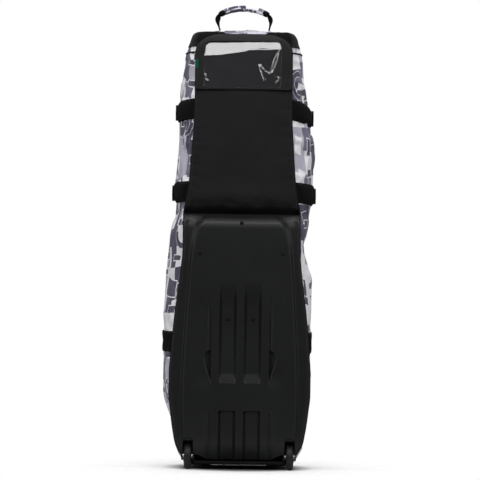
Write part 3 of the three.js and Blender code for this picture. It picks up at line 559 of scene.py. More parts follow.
def print_material(name, size=1.0):
    """Printed cloth: overlapping blocks, bars and arcs in white, lavender grey and slate, with white edges. Distances are in metres."""
    t = Tree(name)
    uv = t.attr()
    base = t.mapping(uv, (0.9 / size, 0.9 / size, 1))
    warp = t.vm("SUBTRACT", t.noise(base, 11, 1.0, dims="2D", color=True), (0.5, 0.5, 0.5))
    w = t.vm("ADD", base, t.vm("SCALE", warp, scale=0.016))
    white, light, mid, dark = (0.88, 0.875, 0.915), (0.50, 0.49, 0.585), (0.155, 0.148, 0.215), (0.056, 0.052, 0.090)

    def cells(wd, ht, rot, seed):
        """Bricks wd by ht with shifted rows: the place inside each brick in metres, and three random numbers for it."""
        x, y, _ = t.sep(t.mapping(w, (1 / wd, 1 / ht, 1), rot, (seed, seed * 0.73, 0)))
        row = t.m("FLOOR", y)
        n1 = t.nt.nodes.new("ShaderNodeTexWhiteNoise")
        n1.noise_dimensions = "1D"
        t.put(n1.inputs["W"], t.m("ADD", row, seed * 1.7))
        x2 = t.m("MULTIPLY_ADD", n1.outputs["Value"], 3.7, x)
        col = t.m("FLOOR", x2)
        c = t.nt.nodes.new("ShaderNodeCombineXYZ")
        t.put(c.inputs[0], col)
        t.put(c.inputs[1], row)
        t.put(c.inputs[2], float(seed))
        n2 = t.nt.nodes.new("ShaderNodeTexWhiteNoise")
        n2.noise_dimensions = "3D"
        t.put(n2.inputs["Vector"], c.outputs[0])
        r, g, b = t.sep(n2.outputs["Color"])
        fx = t.m("MULTIPLY", t.m("SUBTRACT", t.m("FRACT", x2), 0.5), wd)
        fy = t.m("MULTIPLY", t.m("SUBTRACT", t.m("FRACT", y), 0.5), ht)
        return fx, fy, r, g, b

    def rect(fx, fy, hx, hy):
        """Signed distance from a rectangle's edge: negative inside."""
        return t.m("MAXIMUM", t.m("SUBTRACT", t.m("ABSOLUTE", fx), hx), t.m("SUBTRACT", t.m("ABSOLUTE", fy), hy))

    def stamp(col, d, here, fill, edge):
        """Lays a shape over the colour, with a white edge of the given width round it."""
        col = t.mix(t.m("MULTIPLY", here, t.less(d, edge)), col, white)
        return t.mix(t.m("MULTIPLY", here, t.less(d, 0.0)), col, fill)

    # ground: big blocks
    fx, fy, r, g, b = cells(0.074, 0.060, 0.05, 3.0)
    col = t.ramp(r, [(0.0, white), (0.33, light), (0.53, mid), (0.69, dark)], "CONSTANT")
    fx, fy, r, g, b = cells(0.092, 0.104, -0.10, 11.0)
    hx, hy = t.m("MULTIPLY_ADD", g, 0.020, 0.020), t.m("MULTIPLY_ADD", b, 0.022, 0.018)
    col = stamp(col, rect(fx, fy, hx, hy), t.more(r, 0.42), t.ramp(r, [(0.0, dark), (0.52, white), (0.66, dark), (0.80, light), (0.92, mid)], "CONSTANT"), 0.003)
    # arcs, each cut to a share of its ring
    fx, fy, r, g, b = cells(0.094, 0.100, 0.16, 23.0)
    rad = t.m("SQRT", t.m("ADD", t.m("MULTIPLY", fx, fx), t.m("MULTIPLY", fy, fy)))
    d = t.m("SUBTRACT", t.m("ABSOLUTE", t.m("SUBTRACT", rad, t.m("MULTIPLY_ADD", g, 0.010, 0.024))), 0.0065)
    side = t.m("SUBTRACT", t.m("MULTIPLY", fx, t.m("SIGN", t.m("SUBTRACT", b, 0.5))), 0.012)
    d = t.m("MAXIMUM", d, side)
    col = stamp(col, d, t.more(r, 0.64), t.mix(t.more(r, 0.84), white, dark), 0.0012)
    # upright bars
    fx, fy, r, g, b = cells(0.050, 0.096, 0.08, 41.0)
    d = rect(fx, fy, t.m("MULTIPLY_ADD", g, 0.005, 0.006), t.m("MULTIPLY_ADD", b, 0.018, 0.018))
    col = stamp(col, d, t.more(r, 0.66), t.mix(t.more(r, 0.84), dark, white), 0.0030)
    # level bars
    fx, fy, r, g, b = cells(0.110, 0.046, -0.07, 57.0)
    d = rect(fx, fy, t.m("MULTIPLY_ADD", g, 0.020, 0.018), t.m("MULTIPLY_ADD", b, 0.004, 0.006))
    col = stamp(col, d, t.more(r, 0.62), t.mix(t.more(r, 0.82), dark, white), 0.0030)
    # small blocks
    fx, fy, r, g, b = cells(0.058, 0.054, 0.12, 71.0)
    d = rect(fx, fy, t.m("MULTIPLY_ADD", g, 0.006, 0.0055), t.m("MULTIPLY_ADD", b, 0.006, 0.0055))
    col = stamp(col, d, t.more(r, 0.70), t.mix(t.more(r, 0.84), white, dark), 0.0022)
    # uneven ink, and painted shade in the hollows of the weave
    soft = t.noise(base, 38, 4.0, dims="2D")
    col = t.mix(t.m("MULTIPLY", t.ramp(soft, [(0.42, 0.0), (0.68, 1.0)]), 0.10), col, (0.40, 0.39, 0.46))
    wv = t.weave(uv, 0.0009)
    # random tone, and painted shade: the weave's hollows are coloured a little darker than its tops
    fade = t.m("MULTIPLY", t.m("MULTIPLY_ADD", t.noise(t.coords(), 8, 2.0), 0.20, 0.90), t.m("MULTIPLY_ADD", wv, 0.14, 0.90))
    dim = t.nt.nodes.new("ShaderNodeVectorMath")
    dim.operation = "SCALE"
    t.put(dim.inputs[0], col)
    t.put(dim.inputs["Scale"], fade)
    t.set(Base_Color=dim.outputs[0], Roughness=0.78, Specular_IOR_Level=0.25, Sheen_Weight=0.08, Sheen_Roughness=0.5)
    crease = t.noise(t.coords(), 22, 3.0)
    n = t.bump(crease, 0.4, 0.004)
    t.set(Normal=t.bump(wv, 0.35, 0.00025, n))
    return t.mat


def fabric_material(name, color, pitch=0.0012, rough=0.85, sheen=0.03, variation=0.25, crease=0.35, spec=0.07):
    t = Tree(name)
    uv = t.attr()
    wv = t.weave(uv, pitch)
    lo = tuple(c * (1 - variation) for c in color)
    hi = tuple(c * (1 + variation) for c in color)
    big = t.noise(t.coords(), 9, 3.0)
    col = t.mix(big, lo, hi)
    # painted shade: the hollows of the weave are coloured darker than its tops
    col = t.mix(t.m("MULTIPLY", t.m("SUBTRACT", 1.0, wv), 0.45), col, tuple(c * 0.4 for c in color))
    t.set(Base_Color=col, Roughness=t.m("MULTIPLY_ADD", t.noise(t.coords(), 60, 2.0), 0.1, rough - 0.05), Specular_IOR_Level=spec, Sheen_Weight=sheen, Sheen_Roughness=0.45)
    n = t.bump(t.noise(t.coords(), 18, 3.0), crease, 0.004)
    t.set(Normal=t.bump(wv, 0.5, 0.0003, n))
    return t.mat


def webbing_material(name, color=(0.0074, 0.0074, 0.0080)):
    t = Tree(name)
    uv = t.attr()
    x, y, _ = t.sep(uv)
    # chevron ribs across the band, and warp cords along it
    chev = t.m("ADD", y, t.m("MULTIPLY", t.m("PINGPONG", x, 0.004), 0.7))
    rib = t.m("ABSOLUTE", t.m("SINE", t.m("MULTIPLY", chev, math.pi / 0.0021)))
    cordx = t.m("ABSOLUTE", t.m("SINE", t.m("MULTIPLY", x, math.pi / 0.0013)))
    h = t.m("MULTIPLY", rib, t.m("MULTIPLY_ADD", cordx, 0.4, 0.6))
    # painted shade: the colour is darker in the hollows between the ribs and lighter on their tops
    col = t.mix(h, tuple(c * 0.45 for c in color), tuple(c * 1.35 for c in color))
    t.set(Base_Color=col, Roughness=0.85, Specular_IOR_Level=0.025, Sheen_Weight=0.0, Sheen_Roughness=0.4)
    n = t.bump(t.noise(t.coords(), 25, 2.0), 0.25, 0.003)
    t.set(Normal=t.bump(h, 0.7, 0.0005, n))
    return t.mat


def shell_material(name, color=(0.0108, 0.0113, 0.0115), rough=0.38):
    t = Tree(name)
    c = t.coords()
    geo = t.nt.nodes.new("ShaderNodeNewGeometry")
    edge = t.ramp(geo.outputs["Pointiness"], [(0.50, 0.0), (0.56, 1.0)])
    grain = t.noise(c, 1400, 1.0)
    big = t.noise(c, 6, 3.0)
    rub = t.noise(t.mapping(c, (60, 60, 14)), 1.0, 4.0, 0.6)
    scuff = t.m("MULTIPLY", t.ramp(rub, [(0.60, 0.0), (0.74, 1.0)]), 0.35)
    col = t.mix(big, tuple(v * 0.82 for v in color), tuple(v * 1.2 for v in color))
    col = t.mix(t.m("MULTIPLY", edge, 0.30), col, tuple(v * 3.2 for v in color))
    col = t.mix(t.m("MULTIPLY", scuff, 0.22), col, tuple(v * 2.6 for v in color))
    r = t.m("ADD", t.m("MULTIPLY_ADD", big, 0.10, rough - 0.05), t.m("MULTIPLY", scuff, 0.15))
    t.set(Base_Color=col, Roughness=r, Specular_IOR_Level=0.22)
    n = t.bump(t.noise(c, 30, 2.0), 0.12, 0.002)
    t.set(Normal=t.bump(grain, 0.22, 0.0003, n))
    return t.mat


def plastic_material(name, color, rough=0.35, grain=0.1, spec=0.45):
    t = Tree(name)
    c = t.coords()
    big = t.noise(c, 40, 3.0)
    col = t.mix(big, tuple(v * 0.85 for v in color), tuple(v * 1.18 for v in color))
    t.set(Base_Color=col, Roughness=t.m("MULTIPLY_ADD", big, 0.12, rough - 0.06), Specular_IOR_Level=spec)
    t.set(Normal=t.bump(t.noise(c, 900, 2.0), grain, 0.0003))
    return t.mat


def rubber_material(name):
    t = Tree(name)
    c = t.coords()
    dust = t.ramp(t.noise(c, 120, 4.0, 0.65), [(0.45, 0.0), (0.75, 1.0)])
    col = t.mix(t.m("MULTIPLY", dust, 0.4), (0.0058, 0.0058, 0.0062), (0.020, 0.0196, 0.0185))
    t.set(Base_Color=col, Roughness=t.m("MULTIPLY_ADD", dust, 0.25, 0.45), Specular_IOR_Level=0.3)
    t.set(Normal=t.bump(t.noise(c, 700, 3.0), 0.3, 0.0004))
    return t.mat


def steel_material(name, color=(0.48, 0.49, 0.5), rough=0.3):
    t = Tree(name)
    c = t.coords()
    streak = t.noise(t.mapping(c, (30, 900, 900)), 1.0, 3.0)
    t.set(Base_Color=t.mix(streak, tuple(v * 0.75 for v in color), color), Metallic=1.0, Roughness=t.m("MULTIPLY_ADD", streak, 0.2, rough - 0.08))
    t.set(Normal=t.bump(streak, 0.12, 0.0002))
    return t.mat


def vinyl_material(name):
    t = Tree(name)
    c = t.coords()
    haze = t.noise(c, 30, 3.0)
    t.set(
        Base_Color=t.mix(haze, (0.020, 0.020, 0.023), (0.032, 0.032, 0.037)),
        Roughness=t.m("MULTIPLY_ADD", haze, 0.05, 0.03),
        Specular_IOR_Level=0.6,
        Alpha=0.55,
        Coat_Weight=1.0,
        Coat_Roughness=0.02,
        Coat_IOR=1.6,
    )
    t.set(Normal=t.bump(t.noise(c, 16, 2.0), 0.25, 0.004))
    return t.mat


def thread_material(name, color):
    t = Tree(name)
    c = t.coords()
    t.set(Base_Color=t.mix(t.noise(c, 900, 1.0), tuple(v * 0.6 for v in color), color), Roughness=0.7, Sheen_Weight=0.2)
    t.set(Normal=t.bump(t.noise(c, 2500, 1.0), 0.5, 0.0003))
    return t.mat


M = {
    "print": print_material("printed_cloth"),
    "print_small": print_material("printed_cloth_small", 0.55),
    "black": fabric_material("black_nylon", (0.0172, 0.0172, 0.0186), sheen=0.0),
    "black_frame": fabric_material("black_binding", (0.0092, 0.0092, 0.0098), 0.0008, 0.62, 0.0, spec=0.22),
    "black_dark": fabric_material("black_lining", (0.0046, 0.0046, 0.0051), 0.0009, 0.7, 0.0, spec=0.07),
    "lining": fabric_material("padded_lining", (0.10, 0.10, 0.11), 0.0014, 0.9, 0.3),
    "webbing": webbing_material("webbing"),
    "shell": shell_material("moulded_shell"),
    "hub": plastic_material("nylon_hub", (0.0095, 0.0095, 0.0102), 0.42, 0.25),
    "buckle": plastic_material("acetal_buckle", (0.012, 0.012, 0.013), 0.32, 0.12),
    "rubber": rubber_material("urethane_tread"),
    "steel": steel_material("zinc_steel"),
    "rivet": plastic_material("black_rivet", (0.006, 0.006, 0.0064), 0.6, 0.2, 0.12),
    "dark_steel": steel_material("blackened_steel", (0.05, 0.05, 0.052), 0.4),
    "vinyl": vinyl_material("clear_vinyl"),
    "zip": plastic_material("zipper_coil", (0.013, 0.013, 0.014), 0.45, 0.2),
    "thread": thread_material("black_thread", (0.028, 0.028, 0.030)),
    "thread_light": thread_material("grey_thread", (0.16, 0.16, 0.18)),
    "green": fabric_material("green_label", (0.006, 0.085, 0.045), 0.0006, 0.7, 0.1),
}


def give(o, body, slot, *replaced):
    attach(o, body)
    if replaced:
        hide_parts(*replaced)
    return o


def give_bending(o, bodies, span, slot, *replaced):
    """Fabric that crosses a joint: hides the replaced parts and bakes the mesh's transform in place, attached to
    neither body.
    """
    if replaced:
        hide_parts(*replaced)
    bodies[0]
    bodies[1]
    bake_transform(o)
    return o


# ---------------------------------------------------------------- cloth simulation
def spread(index, n, m):
    """Smooth weights that carry n coarse values, kept at the given fine indices, onto m fine ones."""
    f = np.interp(np.arange(m), index, np.arange(n))
    i = np.minimum(np.floor(f).astype(int), n - 2)
    t = f - i
    W = np.zeros((m, n))
    for k, w in ((-1, -0.5 * t + t**2 - 0.5 * t**3), (0, 1 - 2.5 * t**2 + 1.5 * t**3), (1, 0.5 * t + 2 * t**2 - 1.5 * t**3), (2, -0.5 * t**2 + 0.5 * t**3)):
        np.add.at(W, (np.arange(m), np.clip(i + k, 0, n - 1)), w)
    return W


def relaxed(A, nu, nv, pin, grow=0.012, pressure=3.0, cap=6.0, frames=18, flip=False, bend=0.6):
    """How far each point of grid A moves when it is simulated as a sheet of cloth cut a little large, blown outwards and held where pin is 1."""
    iu = np.linspace(0, A.shape[0] - 1, nu).round().astype(int)
    iv = np.linspace(0, A.shape[1] - 1, nv).round().astype(int)
    C = A[iu][:, iv]
    F = quads(nu, nv, 0, flip)
    o = finish_mesh("relax", C.reshape(-1, 3), F, None, fix=False, smooth=False)
    g = o.vertex_groups.new(name="pin")
    w = pin[iu][:, iv].ravel()
    for k in np.nonzero(w > 0.01)[0]:
        g.add([int(k)], float(w[k]), "REPLACE")
    m = o.modifiers.new("cloth", "CLOTH")
    st = m.settings
    st.quality = 6
    st.mass = 0.25
    st.tension_stiffness, st.compression_stiffness, st.shear_stiffness, st.bending_stiffness = 25, 25, 8, bend
    st.air_damping = 3
    st.vertex_group_mass = "pin"
    st.shrink_min = -grow
    st.use_pressure = True
    st.uniform_pressure_force = pressure
    st.effector_weights.gravity = 0
    m.point_cache.frame_start, m.point_cache.frame_end = 1, frames
    scene = bpy.context.scene
    for f in range(1, frames + 1):
        scene.frame_set(f)
    dg = bpy.context.evaluated_depsgraph_get()
    me = o.evaluated_get(dg).to_mesh()
    co = np.zeros(len(me.vertices) * 3, np.float32)
    me.vertices.foreach_get("co", co)
    o.evaluated_get(dg).to_mesh_clear()
    old = o.data
    bpy.data.objects.remove(o)
    bpy.data.meshes.remove(old)
    scene.frame_set(1)
    D = co.reshape(nu, nv, 3) / MM - C
    D = np.nan_to_num(D)
    L = np.linalg.norm(D, axis=2, keepdims=True)
    D = D * (cap * np.tanh(L / cap) / np.maximum(L, 1e-6)) * (1 - pin[iu][:, iv][..., None])
    print("cloth", A.shape, "moved up to", round(float(L.max()), 2), "mm")
    return np.einsum("ai,ijk,bj->abk", spread(iu, nu, A.shape[0]), D, spread(iv, nv, A.shape[1]))


# ---------------------------------------------------------------- the body's surface
def side_point(s, t, z, wide=None):
    wb, ws, wf, yb = BACK_HALF(z), (WIDE[s] if wide is None else wide)(z), front_half(z), BACK_Y(z)
    d = FRONT_Y - yb
    wc = (ws - 0.125 * (wb + wf)) / 0.75
    b0, b1, b2, b3 = (1 - t) ** 3, 3 * t * (1 - t) ** 2, 3 * t * t * (1 - t), t**3
    return np.stack([
        s * (b0 * wb + b1 * wc + b2 * wc + b3 * wf),
        b0 * yb + b1 * (yb + 0.2 * d) + b2 * (FRONT_Y - 0.2 * d) + b3 * FRONT_Y,
        z + 0 * t,
    ], -1)


STRAP_Z = {"upper": (1046, {-1: 8, 1: 20}, 60), "middle": (806, {-1: 4, 1: 8}, 60), "lower": (370, {-1: 0, 1: 0}, 60)}


def side_surface(s, T, Z):
    """Grid of the cloth side: bulged, with puckers by the straps and along the seams."""
    P = side_point(s, T, Z)
    n = grid_normals(P)
    n = n * np.sign((n[..., :1] * s).sum())
    seam = np.minimum(T, 1 - T)
    fade = sm(0.0, 0.10, seam) * sm(22, 70, Z) * (1 - sm(1185, 1210, Z))
    lump = fbm(P[..., 0] / 130, P[..., 1] / 110, P[..., 2] / 95, 5 if s < 0 else 9, 3)
    disp = 2.6 * lump * fade
    # long soft folds that run down and forwards
    fold = vnoise((P[..., 1] + 0.35 * P[..., 2]) / 34, (P[..., 2] - 0.2 * P[..., 1]) / 150, 0 * Z, 31 + s)
    disp += 1.5 * np.sign(fold) * np.abs(fold) ** 1.6 * fade
    for zc, drops, h in STRAP_Z.values():
        zl = zc - drops[s] * T
        gap = np.abs(Z - zl) - h / 2
        near = np.exp(-np.clip(gap, 0, None) / 22) * sm(-4, 3, gap)
        pucker = np.sin(P[..., 1] / 13.5 + 2.2 * vnoise(P[..., 1] / 40, Z / 60, 0 * Z, 70 + s) + 0.4 * s)
        disp += near * (1.5 * pucker - 0.6) * fade
        disp -= 1.0 * (1 - sm(-6, 0, gap)) * fade
    # seam puckers
    sp = np.exp(-seam / 0.035) * np.sin(Z / 7.5 + 3 * vnoise(Z / 45, T * 3, 0 * Z, 3 + s))
    disp += 0.55 * sp * sm(0, 0.006, seam) * sm(22, 50, Z)
    return P + n * disp[..., None], n


plateau_in = pchip([(0, 140), (60, 154), (200, 164), (330, 161), (384, 158), (505, 151), (580, 146), (630, 138), (668, 130), (690, 124), (706, 117), (718, 108), (728, 98), (738, 84)])
plateau_out = pchip([(0, 150), (60, 165), (200, 172), (330, 167), (400, 163), (505, 157), (580, 152), (630, 151), (668, 150), (690, 147), (706, 142), (722, 133), (732, 122), (740, 108)])


def shell_relief(x, z):
    """How far the shell stands out from the back face."""
    ax = np.abs(x)
    top = sm(716, 742, z) * 0.8
    rise = 9.0 * (1 - sm(plateau_in(z), plateau_out(z), ax)) * (1 - top)
    # the flange outside it is dished, and turns up again at the rim
    gap = np.maximum(BACK_HALF(z) - plateau_out(z), 6)
    dish_in = np.clip((ax - plateau_out(z)) / gap, 0, 1)
    rise = rise + (-2.0 * np.sin(np.pi * dish_in) + 2.6 * sm(0.45, 0.95, dish_in)) * (1 - top) * sm(40, 110, z)
    k = np.clip(rise / 9, 0, 1)
    chan = sm(9.6, 14.2, ax) * (1 - sm(57.8, 62.4, ax)) * (1 + 0.42 * np.exp(-(((ax - 14.8) / 2.4) ** 2)) + 0.42 * np.exp(-(((ax - 57.2) / 2.4) ** 2)))
    upper = chan * (5.4 + 2.8 * sm(285, 420, z)) * np.clip((z - 251) / 29, 0, 1) * (1 - sm(470, 548, z))
    lower = chan * 8.2 * (1 - sm(167, 174, z))
    out = ax - 83.0
    # shallow line outside the outer ribs that opens into a scoop with a round outer wall
    line = sm(0, 2.6, out) * (1 - sm(4.0, 10.0, out)) * 4.6 * sm(255, 300, z) * (1 - sm(430, 510, z))
    reach = np.interp(z, [246, 262, 285, 305, 322, 336, 345, 350], [0.5, 4, 11, 17.5, 20, 18, 12, 0.5])
    floor_ = np.clip(1 - out / np.maximum(reach * 1.35, 1), 0, 1) ** 0.7
    scoop = sm(0, 1.8, out) * (1 - sm(reach - 3.2, reach + 1.0, out)) * (11.5 * floor_ + 1.0) * sm(246, 268, z) * (1 - sm(340, 351, z))
    dish = np.exp(-(((out - 16) / 20) ** 2 + ((z - 272) / 30) ** 2)) * 3.4 * sm(0, 3, out)
    low = sm(0, 2.6, out) * (1 - sm(3.5, 20, out)) * 4.6 * (1 - sm(164, 172, z))
    cut = np.maximum.reduce([upper, lower, line, scoop + 0 * z, low]) + dish * (out > 0)
    # a shallow dent on the left of the plateau
    dent = 1.2 * np.exp(-(((x + 113) / 4.0) ** 2)) * sm(455, 470, z) * (1 - sm(497, 508, z))
    return rise - cut * k - dent * k


def shell_bottom(x):
    ax = np.abs(x)
    return 29 + 14 * sm(86, 128, ax) - 3 * sm(150, 175, ax)


def spaced(lo, hi, step, marks=(), fine=0.9, reach=5):
    v = list(np.arange(lo, hi + 1e-6, step))
    for m in marks:
        v += list(np.arange(m - reach, m + reach + 1e-6, fine))
    v = np.array(sorted(x for x in v if lo <= x <= hi))
    keep = [v[0]]
    for x in v[1:]:
        if x - keep[-1] > fine * 0.6:
            keep.append(x)
    keep[-1] = hi
    return np.array(keep)


def build_shell():
    marks = [12, 60, 84.5]
    xs = spaced(-186, 186, 2.6, [s * m for m in marks for s in (-1, 1)], 0.8, 3.2)
    zs = spaced(0, 1, 0.004)  # share of height, remapped so rows follow the bottom edge
    zmarks = spaced(46, 742, 2.9, [168, 175, 252, 346], 1.0, 6)
    nz = len(zmarks)
    U = xs[:, None] + 0 * zmarks[None]
    Zr = zmarks[None] + 0 * U
    # edge columns follow the outline, inner columns stay straight
    edge = BACK_HALF(Zr) - 0.5
    k = np.clip((np.abs(U) - 96) / (186 - 96), 0, 1)
    X = np.sign(U) * (np.minimum(np.abs(U), 96) + k * (edge - 96))
    low = shell_bottom(X)
    f = np.clip((130 - Zr) / (130 - 46), 0, 1) ** 2
    Z = Zr + f * (low - 46)
    edge = BACK_HALF(Z) - 0.5
    X = np.sign(U) * (np.minimum(np.abs(U), 96) + k * (edge - 96))
    lip = 3.0 * np.clip((np.abs(X) - (edge - 4)) / 4, 0, 1) ** 2 + 3.0 * np.clip((Z - 738) / 4, 0, 1) ** 2
    Y = BACK_Y(Z) - shell_relief(X, Z) + lip
    Y += 0.5 * fbm(X / 90, Z / 90, 0 * Z, 77, 2) * sm(0, 30, edge - np.abs(X))
    A = np.stack([X, Y, Z], -1)
    n = grid_normals(A)
    n = n * np.sign(-n[..., 1:2].mean())
    B = A - n * 3.4
    B[..., 1] = np.maximum(B[..., 1], A[..., 1] + 2.0)
    o = two_skins("back_shell_moulding", A, B, M["shell"])
    # slots for the wheels
    cutters = []
    for s in (-1, 1):
        pts = rounded(s * WHEEL[0] - 16.2, s * WHEEL[0] + 16.2, -30, 94, [10, 10, 0.5, 0.5], 6)
        c = prism("cut", pts, -230, -95, None, "y", smooth=False)
        cutters.append(c)
    for c in cutters:
        m = o.modifiers.new("slot", "BOOLEAN")
        m.operation, m.object, m.solver = "DIFFERENCE", c, "EXACT"
    apply_mods(o)
    for c in cutters:
        bpy.data.objects.remove(c)
    give(o, "case", "shell", "back_shell")
    return o


def apply_mods(o):
    bpy.context.view_layer.update()
    dg = bpy.context.evaluated_depsgraph_get()
    me = bpy.data.meshes.new_from_object(o.evaluated_get(dg))
    old = o.data
    o.modifiers.clear()
    o.data = me
    me.name = o.name
    bpy.data.meshes.remove(old)
    return o


build_shell()

# ---------------------------------------------------------------- cloth sides
side_uv = {}
for s, name in ((-1, "left"), (1, "right")):
    nt_, nz_ = 96, 330
    T, Z = np.meshgrid(np.linspace(0, 1, nt_), np.linspace(22, 1210, nz_), indexing="ij")
    T = T + 0.03 * np.sin(2 * np.pi * T) * -1
    A, n = side_surface(s, T, Z)
    pin = np.maximum(1 - sm(0.0, 0.03, np.minimum(T, 1 - T)), 1 - sm(22, 48, Z))
    pin = np.maximum(pin, sm(1198, 1208, Z))
    for zc, drops, h in STRAP_Z.values():
        pin = np.maximum(pin, 1 - sm(h / 2 - 4, h / 2 + 4, np.abs(Z - (zc - drops[s] * T))))
    A = A + relaxed(A, 34, 118, pin, 0.014, 2.0, 5.0, flip=(s > 0))
    kb, kf = 1 - sm(0, 0.14, T), sm(0.86, 1, T)
    inn = -n * (1 - kb - kf)[..., None]
    inn[..., 1] += kb - kf
    B = A + inn * 6.5
    o = two_skins("side_cloth_" + name, A, B, M["print"], arc_uv(A) + np.array([0.0, 0.0] if s > 0 else [410.0, 265.0]))
    give(o, "case", "print_fabric", "side_panel_" + name)
    rows = [int(np.argmin(np.abs(T[:, 0] - q))) for q in (0.026, 0.974)]
    cut = slice(8, -2)
    o = stitches("seam_stitch_" + name, [(A[i, cut] + n[i, cut] * 0.05, n[i, cut]) for i in rows], M["thread_light"], 3.6, 1.6, 0.38, 0.3)
    give(o, "case", "webbing")

# ---------------------------------------------------------------- padded back panel
def back_crown(u, z):
    fall = (1 - np.abs(u) ** 2.6)
    return (5.5 * sm(741, 772, z) * (1 - 0.5 * sm(1150, 1210, z)) + 8.0 * np.exp(-(((z - 788) / 32) ** 2)) * sm(741, 768, z)) * fall


def build_back_panel():
    U, Z = np.meshgrid(np.linspace(-1, 1, 110), np.concatenate([np.linspace(735, 800, 48), np.linspace(802, 1210, 150)]), indexing="ij")
    X = U * (BACK_HALF(Z) - 0.4)
    Y = BACK_Y(Z) - back_crown(U, Z)
    fade = sm(0, 0.12, 1 - np.abs(U)) * sm(742, 775, Z)
    Y -= (1.1 * fbm(X / 85, Z / 110, 0 * Z, 21, 3)) * fade
    # the bottom edge rolls under, with a few soft pinches
    roll = np.exp(-((Z - 742) / 16) ** 2)
    Y -= 1.6 * roll * np.sin(X / 21 + 2 * vnoise(X / 60, 0 * Z, 0 * Z, 8)) * (1 - np.abs(U) ** 4) * sm(741, 750, Z)
    A = np.stack([X, Y, Z], -1)
    pin = np.maximum.reduce([1 - sm(0.0, 0.05, 1 - np.abs(U)), 1 - sm(743, 752, Z), sm(1096, 1104, Z)])
    A = A + relaxed(A, 40, 64, pin, 0.006, 1.5, 4.0)
    tuck = 15.0 * sm(0, 1, (764 - Z) / 26) ** 0.9
    A[..., 1] = np.minimum(A[..., 1], BACK_Y(Z) + 0.5) + tuck
    B = A.copy()
    B[..., 1] = BACK_Y(Z) + 6.5 + tuck
    o = two_skins("back_pad", A, B, M["black"])
    give(o, "case", "black_fabric", "back_panel")
    lines = []
    for q in (-0.955, 0.955):
        i = int(np.argmin(np.abs(U[:, 0] - q)))
        j = slice(int(np.argmin(np.abs(Z[0] - 752))), int(np.argmin(np.abs(Z[0] - 1098))))
        lines.append((A[i, j] + np.array([0, -0.05, 0]), (0, -1, 0)))
    give(stitches("pad_stitch", lines, M["thread"]), "case", "webbing")
    return o


build_back_panel()

# ---------------------------------------------------------------- front panel and flap
FLAP = dict(z0=300.0, top=1192.0, low=150.0, high=120.0, zh=1130.0, r=80.0, coil=4.6)


def flap_edge(z):
    return FLAP["low"] + (FLAP["high"] - FLAP["low"]) * (z - FLAP["z0"]) / (FLAP["zh"] - FLAP["z0"])


def flap_outline(inset, z_low, arc=16, straight=40):
    r, top = FLAP["r"] - inset, FLAP["top"] - inset
    zc = top - r
    half = lambda z: flap_edge(z) - inset
    xc = half(zc) - r
    pts = [(-half(z), z) for z in np.linspace(z_low, zc, straight, endpoint=False)]
    pts += [(-xc + math.cos(a) * r, zc + math.sin(a) * r) for a in np.linspace(math.pi, math.pi / 2, arc)]
    pts += [(xc + math.cos(a) * r, zc + math.sin(a) * r) for a in np.linspace(math.pi / 2, 0, arc)]
    pts += [(half(z), z) for z in np.linspace(zc, z_low, straight + 1)[1:]]
    return pts


def ring_plate(name, outer, inner, y0, y1, mat):
    """The flat body between two outlines with the same number of points, open or closed alike."""
    k = len(outer)
    O, I = np.array(outer), np.array(inner)
    mk = lambda p, y: np.stack([p[:, 0], np.full(k, y), p[:, 1]], 1)
    V = np.concatenate([mk(O, y1), mk(I, y1), mk(O, y0), mk(I, y0)])
    F = []
    for i in range(k):
        j = (i + 1) % k
        F += [(i, j, k + j, k + i), (2 * k + i, 3 * k + i, 3 * k + j, 2 * k + j), (i, 2 * k + i, 2 * k + j, j), (k + i, k + j, 3 * k + j, 3 * k + i)]
    o = finish_mesh(name, V, F, mat, np.concatenate([O, I, O, I]), True)
    auto_smooth(o, 40)
    return o


def dense_open(poly, m):
    L = np.concatenate([[0], np.cumsum(np.linalg.norm(np.diff(poly, axis=0), axis=1))])
    s = np.linspace(0, L[-1], m)
    return np.stack([np.interp(s, L, poly[:, 0]), np.interp(s, L, poly[:, 1])], 1)


def ring_strip(name, a, b, y0, y1, mat, m=500):
    """A flat band between two open outlines of the front, matched by share of length."""
    a, b = dense_open(np.array(a), m), dense_open(np.array(b), m)
    sh = np.array([0, 0.08, 0.5, 0.92, 1.0])
    P = a[:, None] * (1 - sh)[None, :, None] + b[:, None] * sh[None, :, None]
    top = np.array([y1 - 0.5, y1, y1, y1, y1 - 0.5])
    A = np.stack([P[..., 0], top[None] + 0 * P[..., 0], P[..., 1]], -1)
    B = A.copy()
    B[..., 1] = y0
    return two_skins(name, A, B, mat, P)


